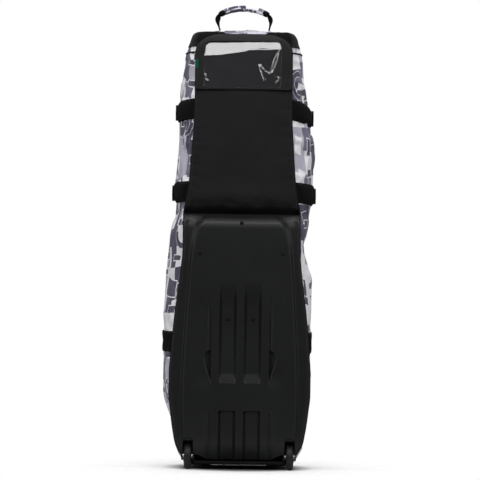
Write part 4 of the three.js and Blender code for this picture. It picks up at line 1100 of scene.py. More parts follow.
def build_front():
    k = 160
    # outline of the front, resampled at matching shares of its length
    zz = np.linspace(22, 1210, 200)
    outer = [(-(front_half(z) - 0.4), z) for z in zz] + [((front_half(z) - 0.4), z) for z in zz[::-1]]
    inner = flap_outline(0.0, FLAP["z0"])
    # rings from the opening out to the edge, so the panel is a fine even grid
    inner = np.array(inner)
    c = np.array([0.0, 700.0])

    def resample(poly, m):
        P = np.vstack([poly, poly[:1]])
        L = np.concatenate([[0], np.cumsum(np.linalg.norm(np.diff(P, axis=0), axis=1))])
        s = np.linspace(0, L[-1], m, endpoint=False)
        return np.stack([np.interp(s, L, P[:, 0]), np.interp(s, L, P[:, 1])], 1)

    m = 420
    In = resample(inner, m)
    Ou = resample(np.array(outer), m)
    # start both at the same corner: lowest left
    Ou = np.roll(Ou, -int(np.argmin(np.linalg.norm(Ou - Ou[0], axis=1))), 0)
    rows = 26
    A = np.zeros((m, rows, 3))
    # match each inner point to the outer point in the same direction from the centre
    ang_o = np.unwrap(np.arctan2(Ou[:, 1] - c[1], Ou[:, 0] - c[0]))
    ang_i = np.arctan2(In[:, 1] - c[1], In[:, 0] - c[0])
    Pdir = np.stack([np.cos(ang_i), np.sin(ang_i)], 1)
    far = []
    Oc = np.vstack([Ou, Ou[:1]])
    for d in Pdir:
        e = Oc[1:] - Oc[:-1]
        f = Oc[:-1] - c
        den = d[0] * e[:, 1] - d[1] * e[:, 0]
        with np.errstate(divide="ignore", invalid="ignore"):
            r = (f[:, 0] * e[:, 1] - f[:, 1] * e[:, 0]) / den
            q = (f[:, 0] * d[1] - f[:, 1] * d[0]) / den
        ok = (r > 0) & (q >= -1e-9) & (q <= 1 + 1e-9)
        far.append(c + d * (r[ok].min() if ok.any() else 1))
    far = np.array(far)
    sh = np.linspace(0, 1, rows)
    P = In[:, None] * (1 - sh)[None, :, None] + far[:, None] * sh[None, :, None]
    X, Z = P[..., 0], P[..., 1]
    e = np.minimum(sh, 1 - sh)[None] + 0 * X
    Y = FRONT_Y + 0.9 * fbm(X / 70, Z / 80, 0 * Z, 41, 3) * sm(0.1, 0.3, e) + 1.6 * sm(0.1, 0.5, e)
    A = np.stack([X, Y, Z], -1)
    B = A.copy()
    B[..., 1] = FRONT_Y - 7
    n = m * rows
    F = [quads(m, rows, 0, wrap_u=True), quads(m, rows, n, True, wrap_u=True)]
    rim = []
    for i in range(m):
        j = (i + 1) % m
        rim.append((i * rows, j * rows, n + j * rows, n + i * rows))
        rim.append((i * rows + rows - 1, n + i * rows + rows - 1, n + j * rows + rows - 1, j * rows + rows - 1))
    uv = np.concatenate([P.reshape(-1, 2)] * 2)
    o = finish_mesh("front_cloth", np.concatenate([A.reshape(-1, 3), B.reshape(-1, 3)]), np.concatenate(F + [np.array(rim)]), M["print"], uv)
    give(o, "case", "print_fabric", "front_panel")

    # flap: a fine grid inside its outline
    zs = np.concatenate([np.linspace(300.4, 1100, 230), np.linspace(1103, 1187.2, 44)])
    us = np.linspace(-1, 1, 90)
    r, top = FLAP["r"] - FLAP["coil"], FLAP["top"] - FLAP["coil"]
    zc = top - r
    half = np.array([flap_edge(z) - FLAP["coil"] if z <= zc else (flap_edge(zc) - FLAP["coil"] - r + math.sqrt(max(r * r - (z - zc) ** 2, 1e-4))) for z in zs])
    X = us[:, None] * half[None]
    Z = zs[None] + 0 * X
    d = np.minimum((1 - np.abs(us))[:, None] * half[None], np.minimum(Z - 300.4, 1187.4 - Z))
    puff = sm(11, 36, d)
    Y = FRONT_Y - 0.4 + 2.6 * puff + 0.9 * fbm(X / 60, Z / 75, 0 * Z, 51, 3) * puff
    A = np.stack([X, Y, Z], -1)
    pin = np.maximum(1 - sm(10, 20, d), 1 - sm(0, 6, np.maximum(np.abs(X) - 101, np.abs(Z - 700) - 285)))
    move = relaxed(A, 44, 128, pin, 0.010, 1.5, 4.0, flip=True)
    A = A + move * np.array([0.3, 1.0, 0.3])
    A[..., 1] = np.where(d < 12, np.minimum(A[..., 1], FRONT_Y + 0.8), np.maximum(A[..., 1], FRONT_Y - 0.6))
    B = A.copy()
    B[..., 1] = FRONT_Y - 7
    o = two_skins("flap_cloth", A, B, M["print"], np.stack([X + 900, Z], -1))
    give(o, "flap", "print_fabric", "front_flap")
    # zipper tapes on the panel and on the flap, and the teeth between them
    o = ring_strip("zip_tape_outer", flap_outline(-13, FLAP["z0"] + 8), flap_outline(0.6, FLAP["z0"] + 8), FRONT_Y + 0.4, FRONT_Y + 1.7, M["black_frame"])
    give(o, "case", "zipper")
    o = ring_strip("zip_tape_inner", flap_outline(FLAP["coil"] + 0.2, FLAP["z0"] + 8), flap_outline(FLAP["coil"] + 12, FLAP["z0"] + 8), FRONT_Y + 0.3, FRONT_Y + 1.6, M["black_frame"])
    give(o, "flap", "zipper")
    for tag, body, offs in (("outer", "case", (-10.5, -3.5)), ("inner", "flap", (FLAP["coil"] + 4, FLAP["coil"] + 10))):
        lines = []
        for q in offs:
            line = dense_open(np.array(flap_outline(q, FLAP["z0"] + 10)), 500)
            lines.append((np.stack([line[:, 0], np.full(500, FRONT_Y + (1.75 if tag == "outer" else 1.65)), line[:, 1]], 1), (0, 1, 0)))
        give(stitches("tape_stitch_" + tag, lines, M["thread_light"], 3.0, 1.6), body, "webbing")
    # bound lower edge, where the flap turns
    o = sweep("flap_hinge_binding", np.stack([np.linspace(-143, 143, 60), np.full(60, FRONT_Y + 0.9), np.full(60, 307.5)], 1), (0, 1, 0), round_rect(5.5, 1.0, 0.8, 3), M["black_frame"])
    give(o, "flap", "black_fabric")
    mid = dense_open(np.array(flap_outline(FLAP["coil"] / 2, FLAP["z0"] + 10)), 1010)
    V, F = [], []
    tang = np.gradient(mid, axis=0)
    tang /= np.linalg.norm(tang, axis=1, keepdims=True)
    nor = np.stack([tang[:, 1], -tang[:, 0]], 1)
    for i in range(len(mid)):
        sgn = 1 if i % 2 else -1
        cen = mid[i] + nor[i] * 0.75 * sgn
        k = len(V)
        for y in (FRONT_Y + 0.9, FRONT_Y + 1.85):
            for a, b in ((-1, -1), (1, -1), (1, 1), (-1, 1)):
                q = cen + tang[i] * 0.62 * a + nor[i] * 1.25 * b
                V.append((q[0], y, q[1]))
        F += [(k, k + 1, k + 2, k + 3), (k + 4, k + 7, k + 6, k + 5), (k, k + 4, k + 5, k + 1), (k + 1, k + 5, k + 6, k + 2), (k + 2, k + 6, k + 7, k + 3), (k + 3, k + 7, k + 4, k)]
    o = finish_mesh("zip_teeth", V, F, M["zip"], smooth=False)
    give(o, "case", "zipper")


build_front()

# ---------------------------------------------------------------- dome
DOME_C = (0.0, -3.0)


def outline_at_top():
    t = np.linspace(0, 1, 60)
    R = side_point(1, t, np.full_like(t, WALL_TOP))
    Lp = side_point(-1, t, np.full_like(t, WALL_TOP))
    poly = [tuple(p[:2]) for p in R] + [tuple(p[:2]) for p in Lp[::-1]]
    return np.array(poly)


OUTLINE = outline_at_top()


def reach(angle):
    d = np.array([math.cos(angle), math.sin(angle)])
    Q = np.vstack([OUTLINE, OUTLINE[:1]])
    e = Q[1:] - Q[:-1]
    f = Q[:-1] - np.array(DOME_C)
    den = d[0] * e[:, 1] - d[1] * e[:, 0]
    with np.errstate(divide="ignore", invalid="ignore"):
        r = (f[:, 0] * e[:, 1] - f[:, 1] * e[:, 0]) / den
        q = (f[:, 0] * d[1] - f[:, 1] * d[0]) / den
    ok = (r > 0) & (q >= -1e-9) & (q <= 1 + 1e-9)
    return float(r[ok].min())


def dome_grid(angles, ss, off):
    R = np.array([reach(a) for a in angles])
    # soften the corners a little
    P = np.zeros((len(angles), len(ss), 3))
    for j, s in enumerate(ss):
        if s <= 0.6:
            phi = s / 0.6 * math.pi / 2
            r = R - DOME_A + (DOME_A - off) * math.cos(phi)
            z = WALL_TOP + 0.4 + (DOME_B - off) * math.sin(phi)
            f = math.sin(phi)
            r = r - 7.5 * math.sin(math.pi * min(1, f * 0.98) ** 1.15) ** 0.9 * np.abs(np.cos(angles)) ** 1.5
        else:
            k = (s - 0.6) / 0.4
            r = (R - DOME_A) * (1 - k)
            z = WALL_TOP + 0.4 + DOME_B - off + DOME_CROWN * (1 - (1 - k) ** 2)
        P[:, j, 0] = DOME_C[0] + np.cos(angles) * r
        P[:, j, 1] = DOME_C[1] + np.sin(angles) * r
        P[:, j, 2] = z
    return P


CORNER_ANG = [math.atan2(y - DOME_C[1], x - DOME_C[0]) for x, y in ((141, -166), (139, 160), (-139, 160), (-141, -166))]


def dome_angles(per):
    out = []
    for i, a in enumerate(CORNER_ANG):
        b = CORNER_ANG[(i + 1) % 4]
        span = (b - a) % (2 * math.pi)
        out += list(a + span * np.arange(per) / per)
    return np.array(out)


def build_dome():
    ang = dome_angles(60)
    ss = np.concatenate([np.linspace(0, 0.6, 36), np.linspace(0.62, 0.985, 26)])

    def skin(off, rough=True):
        P = dome_grid(ang, ss, off)
        if rough:
            k = sm(0, 0.08, ss)[None]
            n = np.stack([P[..., 0] * 0, P[..., 1] * 0, 1 + P[..., 2] * 0], -1)
            P[..., 2] += 1.8 * fbm(P[..., 0] / 70, P[..., 1] / 70, 0 * P[..., 2], 61, 3) * k
            P[..., 2] += 3.0 * np.exp(-(((P[..., 0] - 8) / 58) ** 2)) * sm(0.45, 0.75, ss)[None] * (1 + 0.3 * np.sin(P[..., 0] / 11))
        return P

    A, B = skin(0), skin(7, False)
    nu, nv = A.shape[:2]
    n = nu * nv
    V = np.concatenate([A.reshape(-1, 3), B.reshape(-1, 3), [[DOME_C[0], DOME_C[1], A[:, -1, 2].mean() + 0.1]], [[DOME_C[0], DOME_C[1], B[:, -1, 2].mean()]]])
    F = [tuple(q) for q in quads(nu, nv, 0, wrap_u=True)] + [tuple(q) for q in quads(nu, nv, n, True, wrap_u=True)]
    for i in range(nu):
        j = (i + 1) % nu
        F.append((i * nv, n + i * nv, n + j * nv, j * nv))
        F.append((i * nv + nv - 1, j * nv + nv - 1, 2 * n))
        F.append((n + i * nv + nv - 1, 2 * n + 1, n + j * nv + nv - 1))
    # flat pattern: direction times distance travelled down the slope
    d = np.cumsum(np.concatenate([np.zeros((nu, 1)), np.linalg.norm(np.diff(A[:, ::-1], axis=1), axis=2)], 1), 1)[:, ::-1]
    uvA = np.stack([np.cos(ang)[:, None] * d, np.sin(ang)[:, None] * d + 40], -1).reshape(-1, 2)
    uv = np.concatenate([uvA, uvA, [[0, 40]], [[0, 40]]])
    o = finish_mesh("top_cloth", V, F, M["print"], uv)
    give(o, "case", "print_fabric", "top_panel")
    # liner
    A = dome_grid(ang, ss[4:], 8.5)
    B = dome_grid(ang, ss[4:], 19)
    A[..., 2] = np.minimum(A[..., 2], dome_grid(ang, ss[4:], 7.5)[..., 2])
    nu, nv = A.shape[:2]
    n = nu * nv
    quilt = 1.6 * np.abs(np.sin(B[..., 0] / 22)) * np.abs(np.sin(B[..., 1] / 22))
    B[..., 2] -= quilt
    V = np.concatenate([A.reshape(-1, 3), B.reshape(-1, 3), [[DOME_C[0], DOME_C[1], A[:, -1, 2].mean()]], [[DOME_C[0], DOME_C[1], B[:, -1, 2].mean()]]])
    F = [tuple(q) for q in quads(nu, nv, 0, wrap_u=True)] + [tuple(q) for q in quads(nu, nv, n, True, wrap_u=True)]
    for i in range(nu):
        j = (i + 1) % nu
        F.append((i * nv, n + i * nv, n + j * nv, j * nv))
        F.append((i * nv + nv - 1, j * nv + nv - 1, 2 * n))
        F.append((n + i * nv + nv - 1, 2 * n + 1, n + j * nv + nv - 1))
    o = finish_mesh("head_liner", V, F, M["lining"], V[:, :2])
    give(o, "case", "foam", "head_pad")


build_dome()


def corner_guard(s):
    a = CORNER_ANG[3] if s < 0 else CORNER_ANG[0] + 2 * math.pi
    span_back = 26.0 if s < 0 else 22.0
    lo, hi = (a - math.radians(34), a + math.radians(span_back)) if s < 0 else (a - math.radians(span_back), a + math.radians(34))
    ang = np.unique(np.concatenate([np.linspace(lo, hi, 70), [a]]))
    ss = np.linspace(0.11, 0.66, 40)
    P = np.zeros((len(ang), len(ss), 3))
    inner = (lambda q: 1 - 0.42 * sm(0.30, 0.66, q))
    for j, q in enumerate(ss):
        # towards the crown the patch stops shorter along the back
        row = np.where((ang > a) == (s < 0), a + (ang - a) * inner(q), ang)
        P[:, j] = dome_grid(row, [q], 0)[:, 0]
    n = grid_normals(P)
    n *= np.sign(n[..., 2:3].mean())
    edge = np.minimum.reduce([
        (ang - ang[0])[:, None] * 160 + 0 * ss[None],
        (ang[-1] - ang)[:, None] * 160 + 0 * ss[None],
        ss[None] * 140 + 0 * ang[:, None],
        (ss[-1] - ss)[None] * 140 + 0 * ang[:, None],
    ])
    fold = vnoise((P[..., 0] * s + P[..., 2]) / 13, (P[..., 0] * s - P[..., 2]) / 55, P[..., 1] / 50, 93 + s)
    swell = 1.0 + 1.4 * sm(0, 9, edge) + 1.7 * sm(0, 14, edge) * np.sign(fold) * np.abs(fold) ** 1.5 + 0.7 * fbm(P[..., 0] / 40, P[..., 1] / 40, P[..., 2] / 40, 91 + s, 2) * sm(0, 14, edge)
    A = P + n * np.maximum(swell + 0.4, 0.9)[..., None]
    B = P + n * 0.15
    o = two_skins("corner_patch_" + ("left" if s < 0 else "right"), A, B, M["black_dark"])
    give(o, "case", "black_fabric", "corner_guard_" + ("left" if s < 0 else "right"))
    lines = [(A[2:-2, 3], n[2:-2, 3]), (A[2:-2, -4], n[2:-2, -4]), (A[3, 2:-2], n[3, 2:-2]), (A[-4, 2:-2], n[-4, 2:-2])]
    give(stitches("corner_stitch_" + ("left" if s < 0 else "right"), lines, M["thread"], 2.6, 1.2), "case", "webbing")


corner_guard(-1)
corner_guard(1)


# ---------------------------------------------------------------- document pocket
def pocket_y(z):
    z = np.asarray(z, float)
    f = np.clip((z - WALL_TOP) / DOME_B, 0, 0.97)
    return np.where(z <= WALL_TOP, BACK_Y(z), BACK_Y(WALL_TOP) + DOME_A * (1 - np.sqrt(1 - f * f)) - 2.2 * sm(1238, 1262, z))


def pocket_face(x, z):
    """Outer face of the pocket's cloth."""
    crown = 3.0 * (1 - np.abs(x / 145) ** 3)
    return pocket_y(z) - 7.6 - crown + 0.013 * np.clip(z - 1241, 0, 40) ** 2


WIN = dict(x0=-112.0, x1=104.0, z0=1113.0, z1=1241.0)


def squircle_ring(outline_in, outline_out, rows, yf, name, mat, thick, seed=0, mod=None):
    """A cloth ring between two outlines of equal point count, following a face yf(x, z)."""
    I, O = np.array(outline_in, float), np.array(outline_out, float)
    m = len(I)
    sh = np.linspace(0, 1, rows)
    P = I[:, None] * (1 - sh)[None, :, None] + O[:, None] * sh[None, :, None]
    X, Z = P[..., 0], P[..., 1]
    e = np.minimum(sh, 1 - sh)[None] * np.linalg.norm(O - I, axis=1)[:, None]
    Y = yf(X, Z) - 1.6 * sm(0, 3.5, e)
    if mod is not None:
        Y = Y - mod(X, Z, e)
    A = np.stack([X, Y, Z], -1)
    B = A.copy()
    B[..., 1] = yf(X, Z) + thick
    n = m * rows
    F = [quads(m, rows, 0, wrap_u=True), quads(m, rows, n, True, wrap_u=True)]
    rim = []
    for i in range(m):
        j = (i + 1) % m
        rim.append((i * rows, j * rows, n + j * rows, n + i * rows))
        rim.append((i * rows + rows - 1, n + i * rows + rows - 1, n + j * rows + rows - 1, j * rows + rows - 1))
    return finish_mesh(name, np.concatenate([A.reshape(-1, 3), B.reshape(-1, 3)]), np.concatenate(F + [np.array(rim)]), mat, np.concatenate([P.reshape(-1, 2)] * 2))


def dense(poly, m):
    P = np.vstack([poly, poly[:1]])
    L = np.concatenate([[0], np.cumsum(np.linalg.norm(np.diff(P, axis=0), axis=1))])
    s = np.linspace(0, L[-1], m, endpoint=False)
    return np.stack([np.interp(s, L, P[:, 0]), np.interp(s, L, P[:, 1])], 1)


def match(inner, outer):
    """For each inner point, the outer point in the same direction from the middle."""
    c = inner.mean(0)
    Q = np.vstack([outer, outer[:1]])
    out = []
    for p in inner:
        d = (p - c) / np.linalg.norm(p - c)
        e = Q[1:] - Q[:-1]
        f = Q[:-1] - c
        den = d[0] * e[:, 1] - d[1] * e[:, 0]
        with np.errstate(divide="ignore", invalid="ignore"):
            r = (f[:, 0] * e[:, 1] - f[:, 1] * e[:, 0]) / den
            q = (f[:, 0] * d[1] - f[:, 1] * d[0]) / den
        ok = (r > 0) & (q >= -1e-9) & (q <= 1 + 1e-9)
        out.append(c + d * r[ok].min())
    return np.array(out)


def segment_distance(X, Z, a, b):
    ax, az = a
    bx, bz = b
    L2 = (bx - ax) ** 2 + (bz - az) ** 2
    t = np.clip(((X - ax) * (bx - ax) + (Z - az) * (bz - az)) / L2, 0, 1)
    return np.hypot(X - (ax + t * (bx - ax)), Z - (az + t * (bz - az))), t


def build_pocket():
    inner = dense(np.array(rounded(WIN["x0"], WIN["x1"], WIN["z0"], WIN["z1"], [(12, 10), (20, 14), 6, 6], 8)), 360)
    outer = match(inner, np.array(rounded(-141, 141, 1102, 1266, [(88, 54), (88, 54), 4, 4], 22)))

    def mod(x, z, e):
        # upright folds in the wide right border, soft unevenness elsewhere
        f = 1.5 * np.exp(-(((x - 121 + 0.04 * (z - 1170)) / 3.0) ** 2)) + 1.2 * np.exp(-(((x - 132 - 0.05 * (z - 1170)) / 2.6) ** 2))
        return f * sm(1108, 1130, z) * (1 - sm(1200, 1235, z)) * sm(0, 4, e) + 0.5 * fbm(x / 30, z / 30, 0 * z, 15, 2) * sm(0, 4, e)

    o = squircle_ring(inner, outer, 22, pocket_face, "pocket_frame_cloth", M["black_frame"], 3.0, mod=mod)
    give(o, "case", "black_fabric", "id_pocket_frame")
    lines = []
    for q in (4.5, -6.0):
        wide = np.linalg.norm(outer - inner, axis=1)
        share = (q / wide if q > 0 else 1 + q / wide)[:, None]
        line = np.vstack([inner + (outer - inner) * share] * 2)[: len(inner) + 1]
        e = np.full(len(line), abs(q))
        y = pocket_face(line[:, 0], line[:, 1]) - 1.6 - mod(line[:, 0], line[:, 1], e) - 0.1
        lines.append((np.stack([line[:, 0], y, line[:, 1]], 1), (0, -1, 0.15)))
    give(stitches("pocket_stitch", lines, M["thread"], 2.8, 1.3), "case", "webbing")

    # window sheet: lies back at the top, wrinkled at the lower right
    xs, zs = np.linspace(WIN["x0"] - 4, WIN["x1"] + 4, 260), np.linspace(WIN["z0"] - 4, WIN["z1"] + 4, 170)
    X, Z = np.meshgrid(xs, zs, indexing="ij")
    # the sheet turns to face upwards above a line that rises to the right
    line = np.interp(X, [-112, -90, -60, -20, 20, 45, 70, 100], [1201, 1202, 1205, 1209, 1218, 1221, 1218, 1223])
    line = line + 1.6 * vnoise(X / 13, 0 * X, 0 * X, 4)
    top = np.clip(Z - line, 0, None)
    below = 0.6 * fbm(X / 55, Z / 45, 0 * Z, 12, 2)
    flat = np.minimum(Z, line)
    Y = BACK_Y(flat) - 10.4 - 2.0 * (1 - np.abs(X / 145) ** 3) + below * (1 - 0.7 * sm(0, 8, top)) + 0.275 * top + 0.0006 * top**2
    Y = np.maximum(Y, -400)
    # wrinkles: raised welts along short lines
    creases = [
        ((101, 1219), (97, 1192), 1.0), ((97, 1192), (88, 1168), 1.2), ((88, 1168), (80, 1150), 1.3), ((80, 1150), (79, 1166), 1.0),
        ((79, 1166), (86, 1190), 0.9), ((86, 1190), (99, 1217), 0.8), ((80, 1150), (66, 1154), 1.2), ((66, 1154), (46, 1175), 1.3),
        ((44, 1174), (51, 1148), 1.0), ((51, 1148), (59, 1128), 1.2), ((91, 1141), (101, 1139), 0.9), ((101, 1139), (99, 1130), 1.0),
        ((99, 1130), (93, 1123), 1.2), ((-112, 1145), (-108, 1136), 1.0), ((-110, 1132), (-103, 1126), 1.4), ((54, 1130), (64, 1133), 0.9),
    ]
    welt = np.zeros_like(X)
    for a, b, h in creases:
        d, t = segment_distance(X, Z, a, b)
        d = d + 0.8 * vnoise(X / 6, Z / 6, 0 * X, 6)
        env = 0.65 + 0.35 * np.sin(np.pi * np.clip(t, 0.0, 1.0))
        # flat-topped and crimped along its length, so that each short facet faces up a little
        crimp = 0.4 + 0.245 * ((max(a[1], b[1]) + 3 - Z) % 9.0)
        welt = np.maximum(welt, crimp * np.exp(-((d / (2.5 * h)) ** 4)) * np.clip(env * 1.3, 0, 1))
    Y -= welt
    A = np.stack([X, Y, Z], -1)
    B = A.copy()
    B[..., 1] += 0.7
    o = two_skins("pocket_window_sheet", A, B, M["vinyl"])
    give(o, "case", "vinyl", "id_window")
    # dark cloth behind the window
    U, Z = np.meshgrid(np.linspace(-118, 110, 60), np.linspace(1107, 1246, 40), indexing="ij")
    Y = np.minimum(pocket_y(Z) - 3.2 - 0.4 * fbm(U / 40, Z / 30, 0 * Z, 19, 2), 0)
    A = np.stack([U, Y, Z], -1)
    B = A.copy()
    B[..., 1] += 1.6
    o = two_skins("pocket_backing", A, B, M["black_dark"])
    give(o, "case", "black_fabric")
    # small folded label in the left seam
    P = np.array([[-140.5, float(pocket_face(-140.5, 1177)) - 0.4, 0], [-136.5, float(pocket_face(-136.5, 1177)) - 2.4, 0], [-131.5, float(pocket_face(-131.5, 1177)) - 2.5, 0]])
    P = spline(P, 9)
    U, Z = np.meshgrid(np.arange(9), np.linspace(1163, 1190, 16), indexing="ij")
    A = np.stack([P[U, 0], P[U, 1] - 0.35 - 0.3 * np.sin((Z - 1163) / 27 * math.pi), Z], -1)
    B = A.copy()
    B[..., 1] += 0.9
    o = two_skins("seam_label", A, B, M["green"])
    give(o, "case", "black_fabric")


build_pocket()

# ---------------------------------------------------------------- seams: piping
def pipe(name, P, r, mat, body, slot, up=(0, 0, 1), closed=False, n=10):
    o = sweep(name, P, up, circle(r, n), mat, closed)
    give(o, body, slot)
    return o


zz = np.linspace(44, 1208, 320)
for s, name in ((-1, "left"), (1, "right")):
    P = np.stack([s * (BACK_HALF(zz) - 1.2), BACK_Y(zz) + 0.9, zz], 1)
    pipe("back_piping_" + name, P, 2.1, M["black"], "case", "black_fabric", (0, 1, 0))
    P = np.stack([s * (front_half(zz) - 0.2), np.full_like(zz, FRONT_Y - 0.2), zz], 1)
    pipe("front_piping_" + name, P, 2.6, M["black"], "case", "black_fabric", (0, 1, 0))
ang = dome_angles(80)
ring = dome_grid(ang, [0.0], 0)[:, 0]
ring[:, 2] = WALL_TOP + 0.4
pipe("top_piping", ring, 2.6, M["black"], "case", "black_fabric", (0, 0, 1), closed=True)

# ---------------------------------------------------------------- handle
LOOP = [(-70, 1282), (-73.5, 1295), (-76, 1308), (-74, 1319), (-68, 1327.5), (-58, 1333.5), (-45, 1338.8), (-30, 1342.8), (-15, 1345.2), (0, 1345.8)]
LOOP = LOOP + [(-x, z) for x, z in LOOP[:-1][::-1]]


def build_handle():
    C = spline([(x * 1.025 - 2.5 * (z - 1282) / 64, 0, z) for x, z in LOOP], 140)
    # webbing, folded narrow at its two ends and at the grip's mouths
    def section(f):
        k = min(f, 1 - f) * 2
        hw = np.interp(k, [0, 0.05, 0.14, 0.24, 0.4, 1], [5.5, 7.5, 11.5, 12.5, 12.5, 12.5])
        ht = np.interp(k, [0, 0.06, 0.2, 0.27, 0.4, 1], [2.4, 2.2, 1.9, 2.6, 1.6, 1.6])
        return round_rect(hw, ht, ht * 0.85, 3)

    T, N, B = frames_along(C, (0, 0, 1))
    up = np.stack([-T[:, 2], 0 * T[:, 0], T[:, 0]], 1)
    # the legs twist a little, so that their width shows from behind
    share = np.linspace(0, 1, len(C))
    twist = np.radians(30) * (np.exp(-(((share - 0.14) / 0.07) ** 2)) + 0.8 * np.exp(-(((share - 0.86) / 0.07) ** 2)))
    turned = up * np.cos(twist)[:, None] + np.array([0, 1.0, 0]) * np.sin(twist)[:, None]
    o = sweep("handle_strap", C, turned, section, M["webbing"])
    # sewn to the dome at its feet; the whole strap is baked in place
    give_bending(o, ("case", "top_handle"), ((0, 0, 1.2825), (0, 0, 1.297)), "webbing", "handle_webbing")
    # folded black ends where the webbing enters the grip
    i0, i1 = [int(np.argmin(np.abs(C[:, 0] - x) + (C[:, 2] < 1320) * 99)) for x in (-65, 62)]
    for i, tag in ((i0, "left"), (i1, "right")):
        seg = C[max(0, i - 5) : i + 6]
        u2 = up[max(0, i - 5) : i + 6]
        sec = lambda f: [(a * (15.5 + 1.2 * math.sin(math.pi * f)), b * (7.6 + 1.2 * math.sin(math.pi * f))) for a, b in circle(1, 18)]
        o = sweep("grip_end_" + tag, seg, u2, sec, M["webbing"])
        give(o, "top_handle", "webbing")
    keep = list(range(i0 + 2, i1 - 1))
    G, gu = C[keep], up[keep]

    def grip(f):
        swell = 1 + 0.03 * math.sin(9 * math.pi * f)
        end = 0.86 + 0.14 * min(1, min(f, 1 - f) * 12)
        out = []
        for a in np.linspace(0, 2 * math.pi, 36, endpoint=False):
            c, s_ = math.cos(a), math.sin(a)
            k = (abs(c) ** 2.5 + abs(s_) ** 2.5) ** (-1 / 2.5)
            out.append((15.8 * c * k * end, 9.2 * s_ * k * end * swell))
        return out

    o = sweep("handle_grip_cloth", G, gu, grip, M["print_small"])
    # round-the-grip pattern: distance round the section, not across it
    at = o.data.attributes["wuv"]
    k = 36
    L = np.concatenate([[0], np.cumsum(np.linalg.norm(np.diff(G, axis=0), axis=1))])
    uv = np.zeros((len(G), k, 3), np.float32)
    uv[..., 0] = (np.arange(k) / k * 82)[None]
    uv[..., 1] = L[:, None]
    at.data.foreach_set("vector", (uv * MM).ravel())
    give(o, "top_handle", "print_fabric", "handle_grip")
    # sewn anchor tabs on the dome
    for s, tag in ((-1, "left"), (1, "right")):
        top = dome_top(s * 70, 0)
        P = [(s * 71, 0, top + 3.6), (s * 74, 0, top + 2.2), (s * 84, 0, dome_top(s * 84, 0) + 1.8), (s * 100, 0, dome_top(s * 100, 0) + 1.5), (s * 116, 0, dome_top(s * 116, 0) + 1.2)]
        Q = spline(P, 26)
        o = sweep("handle_anchor_" + tag, Q, (0, 0, 1), round_rect(13, 1.3, 1.1, 3), M["webbing"])
        give(o, "case", "webbing")


def dome_top(x, y):
    a = math.atan2(y - DOME_C[1], x - DOME_C[0])
    R = reach(a)
    r = math.hypot(x - DOME_C[0], y - DOME_C[1])
    if r <= R - DOME_A:
        k = 1 - r / (R - DOME_A)
        return WALL_TOP + 0.4 + DOME_B + DOME_CROWN * (1 - (1 - k) ** 2)
    c = min(1, (r - (R - DOME_A)) / DOME_A)
    return WALL_TOP + 0.4 + DOME_B * math.sqrt(max(0, 1 - c * c))


build_handle()


# ---------------------------------------------------------------- straps
def build_straps():
    for level, (zc, drops, h) in STRAP_Z.items():
        for s in (-1, 1):
            tag = level + "_" + ("left" if s < 0 else "right")
            drop = drops[s]
            has_buckle = level != "lower"
            lo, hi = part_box("strap_band_" + tag)
            y_end = hi.y * 1000
            # surface share where the band ends
            tt = np.linspace(0, 1, 400)
            yy = side_point(s, tt, np.full_like(tt, zc))[:, 1]
            t_end = float(np.interp(y_end, yy, tt)) if has_buckle else 0.97
            nt_, nv_ = 70, 26
            T, V = np.meshgrid(np.linspace(0.004, t_end, nt_), np.linspace(-1, 1, nv_), indexing="ij")
            f = T / t_end
            hh = (h + (40 - h) * sm(0.93, 1, f)) / 2 if has_buckle else h / 2 + 0 * T
            Zg = zc - drop * (f if has_buckle else 1) + V * hh
            base, n = side_surface(s, T, Zg)
            smooth_base = side_point(s, T, Zg)
            nn = grid_normals(smooth_base)
            nn *= np.sign((nn[..., :1] * s).sum())
            proud = 2.0 + 8.0 * (1 - np.abs(V) ** 3.4) * sm(0.0, 0.10, f) * (1 - 0.5 * sm(0.955, 1, f) * has_buckle)
            if level == "lower":
                proud = 2.0 + 2.8 * (1 - np.abs(V) ** 4)
            proud = proud + 0.6 * fbm(T * 9, V * 1.2, 0 * V, 33 + s, 2) * (1 - np.abs(V) ** 2)
            A = smooth_base + nn * proud[..., None]
            B = smooth_base - nn * 0.5
            uv = arc_uv(A)[..., ::-1]
            o = two_skins("strap_" + tag, A, B, M["webbing"], uv)
            give(o, "case", "webbing", "strap_band_" + tag)
            js = [int(np.argmin(np.abs(V[0] - q))) for q in (-0.84, 0.84)]
            give(stitches("strap_stitch_" + tag, [(A[1:-1, j] + nn[1:-1, j] * 0.1, nn[1:-1, j]) for j in js], M["thread"], 2.8, 1.4), "case", "webbing")


build_straps()


# ---------------------------------------------------------------- buckles
def rr_box(name, x0, x1, y0, y1, z0, z1, mat, width=1.0, seg=3):
    V = np.array([(x, y, z) for x in (x0, x1) for y in (y0, y1) for z in (z0, z1)], float)
    F = [(0, 1, 3, 2), (4, 6, 7, 5), (0, 4, 5, 1), (2, 3, 7, 6), (0, 2, 6, 4), (1, 5, 7, 3)]
    o = finish_mesh(name, V, F, mat, V[:, 1:3], smooth=True)
    if width:
        bevel(o, width, seg)
    apply_mods(o)
    return o


